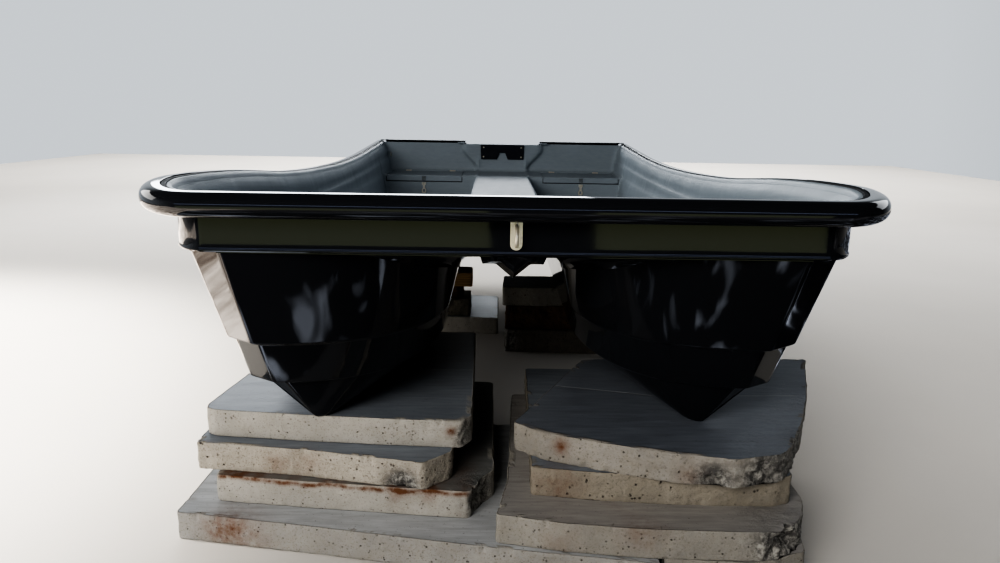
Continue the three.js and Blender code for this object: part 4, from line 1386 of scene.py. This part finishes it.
def u_bar(span, reach, x, y, z):
    """Bar bent into a U that stands out towards the bow: two legs and a half circle."""
    turn = np.linspace(0, np.pi, 17)
    half = span / 2
    bend = np.column_stack([np.full(17, x), y - reach + half - half * np.sin(turn),
                            z + half * np.cos(turn)])
    leg = np.array([[x, y, z + half], [x, y - (reach - half) / 2, z + half]])
    return np.vstack([leg, bend, leg[::-1] - [0, 0, span]])


def build_eyes():
    """Bow eye with its rounded plate, and the small eye inside the stern."""
    low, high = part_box("bow_eye_plate")
    half = (high.x - low.x) / 2
    turn = np.linspace(np.pi, 2 * np.pi, 13)
    outline = [(half, high.z), (-half, high.z),
               *zip(half * np.cos(turn), low.z + half + half * np.sin(turn))]
    plate = plate_object("eye_plate", outline, low.y, high.y, 0.001, lambda u, v, w: (u, w, v), 0.001)
    finish_piece(plate, "stainless", replaces=["bow_eye_plate"], even_normals=True)
    low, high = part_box("bow_eye_bolt")
    middle = (low.z + high.z) / 2
    bolt = tube_object("eye_bolt", u_bar(0.040, 0.030, 0, high.y, middle), 0.004)
    finish_piece(bolt, "stainless", replaces=["bow_eye_bolt"])
    low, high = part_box("stern_eye")
    middle_x, middle_z = (low.x + high.x) / 2, (low.z + high.z) / 2
    eye = tube_object("eye_stern", u_bar(0.022, 0.016, middle_x, high.y, middle_z), 0.0025, 10)
    finish_piece(eye, "stainless", replaces=["stern_eye"])


# Small pieces that are shown as they are, and their finishes
KEPT = {
    "hinge_fixed_inner": "stainless", "hinge_fixed_outer": "stainless",
    "hinge_moving_inner": "stainless", "hinge_moving_outer": "stainless",
    "latch": "stainless", "keeper": "keeper_rubber", "drain_plug": "black_plastic",
}
# Finishes for the names that the pieces underneath have and no finish here has
HIDDEN_FINISHES = {"concrete": "slab_pale", "stone": "stone_brown"}


def finish_frame_pieces():
    """Every piece of the frame gets its finish, and the small ones that are shown as they are get
    softened edges."""
    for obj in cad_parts.values():
        slot = obj.data.materials[0].name.split(".")[0]
        give_finish(obj, HIDDEN_FINISHES.get(slot, slot))
    for stem, finish in KEPT.items():
        for side in LIDS:
            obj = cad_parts[f"{stem}_{side}"]
            give_finish(obj, finish)
            soften = obj.modifiers.new("soften", "BEVEL")
            soften.width = 0.0006
            soften.segments = 2
            soften.limit_method = "ANGLE"


# The plinth

# Slabs: bottom, thickness, finish, plan outline, spots. A spot is a ball that is stained brown, is
# pushed in (broken) or takes a chip off the top edge: kind, x, y, z, radius, strength. A seam is a
# brown line: start and end in x, height, width, strength
CAST = 0.074
COURSE = 0.07425
SLABS = {
    "slab_left_base": (0.0, CAST, "slab_white", [
        (-0.842, -1.556), (-0.584, -1.600), (-0.307, -1.650), (-0.055, -1.697), (0.150, -1.728),
        (0.345, -1.758), (0.350, -1.010), (-0.200, -0.960), (-0.560, -0.915), (-0.820, -0.880)], [
        ("stain", -0.72, -1.58, 0.040, 0.050, 0.9), ("stain", -0.66, -1.59, 0.030, 0.060, 0.7)]),
    "slab_left_lower": (COURSE, CAST, "slab_lower", [
        (-0.758, -1.498), (-0.512, -1.530), (-0.300, -1.553), (-0.096, -1.574), (-0.034, -1.450),
        (-0.040, -0.790), (-0.300, -0.770), (-0.740, -0.740)], [
        ("seam", -0.76, -0.08, 0.142, 0.0065, 1.5), ("stain", -0.28, -1.55, 0.136, 0.030, 0.8),
        ("stain", -0.20, -1.56, 0.130, 0.022, 0.7), ("broken", -0.06, -1.52, 0.11, 0.05, 0.020)]),
    "slab_left_middle": (2 * COURSE, CAST, "slab_warm", [
        (-0.818, -1.466), (-0.518, -1.506), (-0.360, -1.540), (-0.213, -1.572), (-0.140, -1.500),
        (-0.150, -0.820), (-0.400, -0.800), (-0.800, -0.760)], [
        ("stain", -0.60, -1.50, 0.175, 0.035, 0.6), ("stain", -0.52, -1.51, 0.190, 0.045, 0.4),
        ("broken", -0.27, -1.56, 0.150, 0.035, 0.022), ("chip", -0.70, -1.48, 0.222, 0.05, 0.005)]),
    "slab_left_top": (3 * COURSE, CAST, "slab_pale", [
        (-0.808, -1.385), (-0.800, -1.412), (-0.775, -1.427), (-0.524, -1.456), (-0.297, -1.474),
        (-0.118, -1.484), (-0.093, -1.440),
        (-0.105, -0.684), (-0.400, -0.690), (-0.716, -0.700)], [
        ("stain", -0.150, -1.483, 0.268, 0.011, 2.2), ("broken", -0.100, -1.475, 0.25, 0.035, 0.012),
        ("chip", -0.13, -1.48, 0.296, 0.03, 0.006), ("chip", -0.28, -1.47, 0.296, 0.012, 0.005)]),
    "slab_right_base": (0.0, CAST, "slab_ash", [
        (0.352, -1.735), (0.560, -1.750), (0.700, -1.700), (0.742, -1.500), (0.760, -0.960),
        (0.560, -0.940), (0.352, -1.000)], []),
    "slab_right_lower": (COURSE, CAST, "slab_ash", [
        (-0.038, -1.678), (0.130, -1.716), (0.300, -1.736), (0.620, -1.748), (0.690, -1.700),
        (0.728, -1.590), (0.760, -0.900), (0.400, -0.890), (0.016, -0.900), (-0.008, -1.500)], [
        ("broken", 0.66, -1.73, 0.11, 0.07, 0.035), ("stain", 0.30, -1.73, 0.14, 0.05, 0.5),
        ("stain", 0.12, -1.71, 0.10, 0.05, 0.3)]),
    "slab_right_middle": (2 * COURSE, CAST, "slab_shade", [
        (0.047, -1.586), (0.217, -1.612), (0.417, -1.630), (0.640, -1.632), (0.690, -1.610),
        (0.720, -0.860), (0.400, -0.850), (0.060, -0.850)], [
        ("stain", 0.12, -1.59, 0.18, 0.06, 0.6)]),
    "slab_right_top": (3 * COURSE, CAST, "slab_slate", [
        (0.003, -1.480), (0.078, -1.546), (0.218, -1.602), (0.373, -1.655), (0.516, -1.685),
        (0.640, -1.660), (0.690, -1.600), (0.760, -1.470), (0.835, -1.320), (0.985, -0.935),
        (0.600, -0.950), (0.240, -0.965)], [
        ("stain", 0.125, -1.565, 0.268, 0.020, 1.4), ("stain", 0.42, -1.665, 0.245, 0.03, 0.5),
        ("chip", 0.09, -1.55, 0.296, 0.035, 0.010), ("chip", 0.20, -1.595, 0.296, 0.030, 0.008),
        ("chip", 0.33, -1.64, 0.296, 0.028, 0.012), ("chip", 0.42, -1.665, 0.296, 0.020, 0.009),
        ("broken", 0.47, -1.69, 0.235, 0.035, 0.030), ("broken", 0.62, -1.67, 0.24, 0.06, 0.022),
        ("broken", 0.72, -1.54, 0.25, 0.06, 0.020), ("broken", 0.82, -1.35, 0.25, 0.06, 0.012)]),
    "pile_left_base": (0.0, 0.080, "slab_pale", [
        (-0.985, 0.330), (-0.316, 0.302), (-0.018, 0.278), (-0.014, 0.740), (-0.320, 0.770),
        (-0.985, 0.780)], []),
    "pile_left_stone": (0.0803, 0.084, "stone_light", [
        (-0.520, 0.330), (-0.290, 0.310), (-0.153, 0.312), (-0.150, 0.520), (-0.500, 0.540)], []),
    "pile_left_lump": (0.1646, 0.062, "stone_brown", [
        (-0.420, 0.345), (-0.310, 0.326), (-0.215, 0.332), (-0.178, 0.380), (-0.190, 0.455),
        (-0.400, 0.470)], [("broken", -0.42, 0.34, 0.20, 0.05, 0.02)]),
    "pile_left_timber": (0.2269, 0.0699, "timber", [
        (-0.560, 0.335), (-0.300, 0.330), (-0.148, 0.325), (-0.150, 0.480), (-0.540, 0.490)], []),
    "pile_right_base": (0.0, 0.105, "slab_dark", [
        (0.002, 0.002), (0.390, -0.020), (0.640, 0.000), (0.640, 0.330), (0.330, 0.340),
        (0.010, 0.330)], [("broken", 0.0, 0.0, 0.06, 0.05, 0.02)]),
    "pile_right_stone": (0.1053, 0.105, "stone_brown", [
        (0.000, 0.012), (0.386, 0.010), (0.600, 0.020), (0.600, 0.300), (0.300, 0.310),
        (0.014, 0.300)], [("broken", 0.20, 0.01, 0.20, 0.05, 0.015)]),
    "pile_right_wedge": (0.2106, 0.0862, "slab_ash", [
        (-0.008, 0.030), (0.160, 0.022), (0.230, 0.030), (0.560, 0.040), (0.560, 0.280),
        (0.250, 0.280), (0.000, 0.270)], []),
}
# How rough each finish is, in metres: waves and grit of its sides, chips of its edges
ROUGHNESS = {"slab_pale": (0.0028, 0.0008, 0.010), "slab_warm": (0.0045, 0.0030, 0.014),
             "slab_lower": (0.0030, 0.0010, 0.008), "slab_white": (0.0035, 0.0012, 0.012),
             "slab_shade": (0.0045, 0.0030, 0.014), "slab_ash": (0.0035, 0.0015, 0.012),
             "slab_slate": (0.0045, 0.0022, 0.018), "slab_dark": (0.005, 0.003, 0.02),
             "stone_light": (0.008, 0.003, 0.02), "stone_brown": (0.011, 0.005, 0.02),
             "timber": (0.0012, 0.0004, 0.004)}
# Sizes of the slabs' marks in metres
WAVE = 0.09
RIPPLE = 0.022
GRIT = 0.0075
BITE = 0.016
SWELL = 0.075
GNAW = 0.03
TEAR = 0.018
# How far the wear reaches down from the top edge and up from the lower one
TOP_WEAR = 0.026
LOW_WEAR = 0.022
# Samples on each side over which a slab's outward direction is evened out
NORMAL_SPREAD = 10


def spot_field(points, spots, kind):
    """Sum of the spots of one kind: strength times exp of minus squared distance over radius. A
    seam is a wavy line at height z from x to y in x, as wide as its radius."""
    total = np.zeros(len(points))
    for word, x, y, z, radius, strength in spots:
        if word == kind:
            away = ((points - (x, y, z)) ** 2).sum(axis=1)
            total += strength * np.exp(-away / radius ** 2)
        if word == "seam" and kind == "stain":
            wave = z + radius * lattice_noise(points * (1, 0, 0), 0.05, 5, 3)
            ends = ease((points[:, 0] - x) / 0.03) * ease((y - points[:, 0]) / 0.03)
            total += strength * ends * np.exp(-((points[:, 2] - wave) / radius) ** 2)
    return total


def build_slab(name, low, thickness, look, plan, spots):
    """Worn slab or block: its plan outline lofted through rows whose sides are pushed in by noise
    and by its broken spots, with a flat top and bottom and chipped edges."""
    s = sizes()
    step = s.slab_step * 1
    outline = rounded_outline(plan, 0.014, 6)
    outline = resampled(outline, step, outline[:, 1].min() + 0.30)
    outward = outward_of(outline)
    outward = sum(np.roll(outward, k, axis=0) for k in range(-NORMAL_SPREAD, NORMAL_SPREAD + 1))
    outward /= np.linalg.norm(outward, axis=1, keepdims=True)
    top = low + thickness
    wear = 0.0025
    heights = np.linspace(low + wear, top - wear, max(4, int(thickness / step)))
    # Columns: inset, height, share of the marks, scale about the middle
    rows = [(0.010, low, 0.3, 0.90), (0.010, low, 0.3, 1.0), (wear, low, 0.8, 1.0),
            *[(0.0, z, 1.0, 1.0) for z in heights], (wear * 0.5, top - wear * 0.35, 0.9, 1.0),
            (wear, top, 0.8, 1.0), (0.006, top, 0.6, 1.0), (0.009, top, 0.5, 0.993),
            (0.009, top, 0.4, 0.985), (0.009, top, 0.2, 0.96), (0.009, top, 0.2, 0.85)]
    middle = outline.mean(axis=0)
    depth, grit, chips = ROUGHNESS[look]
    edge = at_height(outline, top)
    bite = lattice_noise(edge, BITE, 11, 3) + 0.8 * lattice_noise(edge, SWELL, 4, 2)
    bite = np.clip(bite - 0.30, 0, 1) * chips + spot_field(edge, spots, "chip")
    gnaw = np.clip(lattice_noise(edge, GNAW, 17, 3) - 0.25, 0, 1) * chips * 0.8
    rings, faces = [], []
    for inset, z, share, scale in rows:
        ring = at_height(outline, z)
        push = depth * (0.5 + 0.5 * lattice_noise(ring, WAVE, len(name), 2))
        push += depth * 0.9 * (0.5 + 0.5 * lattice_noise(ring, RIPPLE, 3, 2))
        push += grit * (0.5 + 0.5 * lattice_noise(ring, GRIT, 21, 2))
        torn = spot_field(ring, spots, "broken") * (0.7 + 0.9 * lattice_noise(ring, TEAR, 8, 3))
        near_top = ease((z - top + TOP_WEAR) / TOP_WEAR)
        near_low = ease((low + LOW_WEAR - z) / LOW_WEAR)
        push = (push + torn + bite * 0.8 * near_top + gnaw * near_low) * share + inset
        ring[:, :2] -= outward * push[:, None]
        ring[:, :2] = middle + (ring[:, :2] - middle) * scale
        ring[:, 2] -= bite * near_top * share ** 2
        ring[:, 2] = np.maximum(ring[:, 2], low)
        rings.append(ring)
        shown = np.clip(bite / 0.003, 0, 1) * (share > 0.3)
        faces.append(shown if z == top and inset > wear else np.ones(len(outline)))
    grid = np.stack(rings)
    flat = grid.reshape(-1, 3)
    attributes = {"face": np.stack(faces), "stain": spot_field(flat, spots, "stain"),
                  "torn": np.clip(spot_field(flat, spots, "broken") / 0.008, 0, 1)}
    block = sheet_object(f"{name}_cast", grid, sharp=60,
                         attributes=attributes)
    finish_piece(block, look, replaces=[name], even_normals=True)


def build_plinth():
    for name, slab in SLABS.items():
        build_slab(name, *slab)


# Stage

CAMERA_PLACE = (-0.0468, -3.270, 1.070)
CAMERA_PITCH = math.radians(12.76)
CAMERA_YAW = math.radians(0.52)
CAMERA_ROLL = math.radians(0.94)
CAMERA_LENS = 27.0
SENSOR_WIDTH = 36.0
# Ends of the floor: its front, its back and its half width
FLOOR_FRONT = -4.3
FLOOR_BACK = 14
FLOOR_HALF = 9
# Height of the glossy boards over the floor, and place in y of the cards
BOARD_HEIGHT = 0.0015
CARD_Y = -5.2


def add_light(name, kind, place, target, energy, colour):
    data = bpy.data.lights.new(name, kind)
    data.energy = energy
    data.color = colour
    light = in_scene(name, data)
    light.location = place
    light.rotation_euler = (Vector(target) - Vector(place)).to_track_quat("-Z", "Y").to_euler()
    return light


def area_light(name, place, target, size, energy, colour):
    light = add_light(name, "AREA", place, target, energy, colour)
    light.data.shape = "RECTANGLE"
    light.data.size, light.data.size_y = size
    return light


def reflector(name, x0, x1, z0, z1, radiance, colour):
    """Upright card in front of the bow that shows only in glossy surfaces. The power of a card
    is its radiance times pi times its area."""
    size = (x1 - x0, z1 - z0)
    middle = ((x0 + x1) / 2, CARD_Y, (z0 + z1) / 2)
    card = area_light(name, middle, (middle[0], 0.0, middle[2]), size,
                      radiance * math.pi * size[0] * size[1], colour)
    card.visible_camera = False
    card.visible_diffuse = False


def flat_object(name, outline, z):
    mesh = bpy.data.meshes.new(name)
    mesh.from_pydata([(x, y, z) for x, y in outline], [], [tuple(range(len(outline)))])
    return in_scene(name, mesh)


def gloss_board(name, outline, colour_of):
    """Glowing board just over the floor that only the gloss sees, a painted reflection for the glossy
    pieces; colour_of gives its glow from its tree and its place."""
    board = flat_object(name, outline, BOARD_HEIGHT)
    finish, t, shader = new_finish(name)
    t.feed(shader, "Emission Color", colour_of(t, t.place()))
    shader.inputs["Emission Strength"].default_value = 1.0
    shader.inputs["Base Color"].default_value = (0.0, 0.0, 0.0, 1.0)
    shader.inputs["Specular IOR Level"].default_value = 0.0
    board.data.materials.append(finish)
    board.visible_camera = False
    board.visible_diffuse = False
    board.visible_shadow = False


def shade_glow(t, place):
    """Painted reflection of shade: near black with pale swirls of painted highlight, brown further
    ahead of the bow.
    """
    swirl = t.noise(place, 1.9, 2.0, 0.45, 2.4)
    ahead = t.part(place, "Y")
    dark = t.blend(t.span(ahead, -3.6, -2.3, 1.0, 0.0), (0.022, 0.022, 0.024, 1),
                   (0.34, 0.30, 0.27, 1))
    return t.blend(t.span(swirl, 0.56, 0.68), dark, (2.0, 2.15, 2.5, 1))


def sunlit_glow(t, place):
    """Painted reflection of sunlit ground: bright glow with brown streaks."""
    stretched = t.stretched(place, (5.0, 1.2, 1.0))
    streak = t.span(t.noise(stretched, 1.6, 5.0, 0.62, 0.8), 0.38, 0.62)
    return t.blend(streak, (1.0, 0.78, 0.60, 1), (5.2, 4.6, 4.0, 1))


def build_boards():
    """Glowing boards of painted reflection: a dark board of painted shade ahead of the bow and to
    port, a bright board of painted sunlight to starboard.
    """
    shade = ((-1.25, FLOOR_FRONT), (6.0, FLOOR_FRONT), (6.0, 5.0), (1.25, 5.0), (1.25, -1.45),
             (-1.25, -1.45))
    bright = ((-6.0, FLOOR_FRONT), (-1.25, FLOOR_FRONT), (-1.25, 3.0), (-6.0, 3.0))
    gloss_board("shade", shade, shade_glow)
    gloss_board("sunlit", bright, sunlit_glow)


def build_camera():
    """Camera of a 27 mm lens, pitched down, turned a little to port and rolled clockwise."""
    forward = Vector((math.sin(CAMERA_YAW) * math.cos(CAMERA_PITCH),
                      math.cos(CAMERA_YAW) * math.cos(CAMERA_PITCH), -math.sin(CAMERA_PITCH)))
    right = Vector((math.cos(CAMERA_YAW), -math.sin(CAMERA_YAW), 0))
    up = right.cross(forward)
    level_right = right * math.cos(CAMERA_ROLL) + up * math.sin(CAMERA_ROLL)
    level_up = up * math.cos(CAMERA_ROLL) - right * math.sin(CAMERA_ROLL)
    data = bpy.data.cameras.new("camera")
    data.lens = CAMERA_LENS
    data.sensor_width = SENSOR_WIDTH
    data.clip_end = 60.0
    camera = in_scene("camera", data)
    turn = Matrix((level_right, level_up, -forward)).transposed()
    camera.matrix_world = Matrix.Translation(CAMERA_PLACE) @ turn.to_4x4()
    bpy.context.scene.camera = camera
    bpy.context.scene.view_settings.view_transform = "AgX"
    bpy.context.scene.view_settings.look = "AgX - Very High Contrast"


def build_floor():
    """Plain pale floor under the plinth."""
    outline = [(-FLOOR_HALF, FLOOR_FRONT), (FLOOR_HALF, FLOOR_FRONT), (FLOOR_HALF, FLOOR_BACK),
               (-FLOOR_HALF, FLOOR_BACK)]
    floor = flat_object("floor", outline, 0)
    finish, t, shader = new_finish("floor")
    place = t.place()
    base = colours().floor
    cloud = t.span(t.noise(place, 0.8, 4.0), 0.3, 0.7)
    t.feed(shader, "Base Color", t.blend(cloud, paint(base, 0.95), paint(base)))
    t.feed(shader, "Normal", t.bump(t.noise(place, 60.0, 4.0), 0.12, 0.002))
    shader.inputs["Roughness"].default_value = 0.8
    shader.inputs["Specular IOR Level"].default_value = 0.0
    floor.data.materials.append(finish)


def build_world():
    """World bright near the horizon astern and to starboard, dim overhead and ahead of the bow."""
    world = bpy.data.worlds.new("daylight")
    world.use_nodes = True
    t = Tree(world.node_tree)
    background = world.node_tree.nodes["Background"]
    direction = t.add("ShaderNodeTexCoord").outputs["Generated"]
    towards = t.dot(direction, (-0.50, 0.86, 0.0))
    height = t.part(direction, "Z")
    share = t.times(t.span(towards, -0.2, 0.5), t.span(height, 0.20, 0.42, 1.0, 0.0))
    t.feed(background, "Color", t.blend(share, (0.045, 0.050, 0.058, 1.0), (0.56, 0.60, 0.64, 1.0)))
    background.inputs["Strength"].default_value = 1.0
    bpy.context.scene.world = world


# Name, place, target, size, power and colour
AREA_LIGHTS = (
    ("far", (0.0, 11.0, 8.0), (0.0, 11.0, 0.0), (16.0, 9.0), 2600.0, (1.0, 0.98, 0.95)),
    ("astern", (-1.6, 6.5, 3.0), (0.0, 0.2, 0.6), (6.0, 1.6), 150.0, (0.92, 0.96, 1.0)),
    ("starboard", (-6.0, 1.5, 2.6), (0.0, 0.0, 0.6), (5.0, 2.0), 70.0, (1.0, 0.97, 0.93)),
    ("port", (5.5, 2.0, 2.8), (0.0, 0.0, 0.6), (4.0, 2.0), 40.0, (0.93, 0.96, 1.0)),
    ("fill", (-2.4, -5.6, 2.7), (-0.1, 0.4, 0.6), (3.5, 2.0), 190.0, (1.0, 0.96, 0.91)),
)
# Name, ends in x, ends in z, radiance and colour
CARDS = (
    ("card_left", -4.2, -0.10, -0.4, 0.56, 1.5, (0.62, 0.68, 0.36)),
    ("card_right", 0.63, 2.25, -0.4, 0.56, 1.5, (0.62, 0.68, 0.36)),
    ("card_sky", -4.5, 4.5, 1.25, 1.60, 3.0, (0.55, 0.66, 1.0)),
)


def build_light():
    """Soft daylight from the stern and the starboard side, a warm fill from the front, two lights
    for the floor alone and dim cards in front of the bow for the gloss to reflect."""
    lights = {row[0]: area_light(*row) for row in AREA_LIGHTS}
    for name in ("far", "fill"):
        lights[name].visible_glossy = False
    sun = add_light("sun", "SPOT", (-4.6, -0.6, 6.0), (-3.5, -1.0, 0.0), 5200.0, (1.0, 0.95, 0.88))
    sun.data.spot_size = math.radians(50)
    sun.data.spot_blend = 0.6
    sun.data.shadow_soft_size = 0.4
    floor_only = bpy.data.collections.new("ground")
    floor_only.objects.link(bpy.data.objects["floor"])
    for light in (lights["far"], sun):
        light.light_linking.receiver_collection = floor_only
    for card in CARDS:
        reflector(*card)


# The add-on


class BuildStep:
    """One step of the build: runs its functions in order."""
    builders = ()

    def execute(self, context):
        for build in self.builders:
            build()
        return {"FINISHED"}


class BOAT_OT_outer_moulding(BuildStep, bpy.types.Operator):
    """Build the black outer moulding: hulls, bridge deck, band, rail and trim"""
    bl_idname = "boat.outer_moulding"
    bl_label = "Outer moulding"
    builders = (build_band, build_hulls, build_bridge_deck, build_rail, build_trim)


class BOAT_OT_cockpit(BuildStep, bpy.types.Operator):
    """Build the grey cockpit: liner, lockers, lids and the transom's top"""
    bl_idname = "boat.cockpit"
    bl_label = "Cockpit"
    builders = (build_liner, build_lockers, build_gap_shade_strips, build_lids, build_transom_top)


class BOAT_OT_fittings(BuildStep, bpy.types.Operator):
    """Build the fittings: motor pads, eyes, and finishes for hinges, latches and plugs"""
    bl_idname = "boat.fittings"
    bl_label = "Fittings"
    builders = (build_pads, build_eyes, finish_frame_pieces)


class BOAT_OT_plinth(BuildStep, bpy.types.Operator):
    """Build the slabs and blocks that carry the boat"""
    bl_idname = "boat.plinth"
    bl_label = "Plinth"
    builders = (build_plinth,)


class BOAT_OT_stage(BuildStep, bpy.types.Operator):
    """Build the floor, the camera and the daylight"""
    bl_idname = "boat.stage"
    bl_label = "Stage"
    builders = (build_floor, build_boards, build_camera, build_world, build_light)


class BOAT_PT_panel(bpy.types.Panel):
    """Sizes, colours and building steps of the fishing catamaran"""
    bl_label = "Fishing catamaran"
    bl_idname = "BOAT_PT_panel"
    bl_space_type = "VIEW_3D"
    bl_region_type = "UI"
    bl_category = "Catamaran"

    def draw(self, context):
        for title, group in (("Sizes", sizes()), ("Colours", colours())):
            box = self.layout.box()
            box.label(text=title)
            for name in group.__annotations__:
                box.prop(group, name)
        for step in STEPS:
            self.layout.operator(step.bl_idname)


STEPS = (BOAT_OT_outer_moulding, BOAT_OT_cockpit, BOAT_OT_fittings, BOAT_OT_plinth, BOAT_OT_stage)
CLASSES = (BoatSizes, BoatColours, *STEPS, BOAT_PT_panel)


def register():
    for cls in CLASSES:
        bpy.utils.register_class(cls)
    bpy.types.Scene.boat_sizes = PointerProperty(type=BoatSizes)
    bpy.types.Scene.boat_colours = PointerProperty(type=BoatColours)


def unregister():
    del bpy.types.Scene.boat_colours
    del bpy.types.Scene.boat_sizes
    for cls in reversed(CLASSES):
        bpy.utils.unregister_class(cls)


def main():
    register()
    bpy.ops.boat.outer_moulding()
    bpy.ops.boat.cockpit()
    bpy.ops.boat.fittings()
    bpy.ops.boat.plinth()
    bpy.ops.boat.stage()


if __name__ == "__main__":
    main()
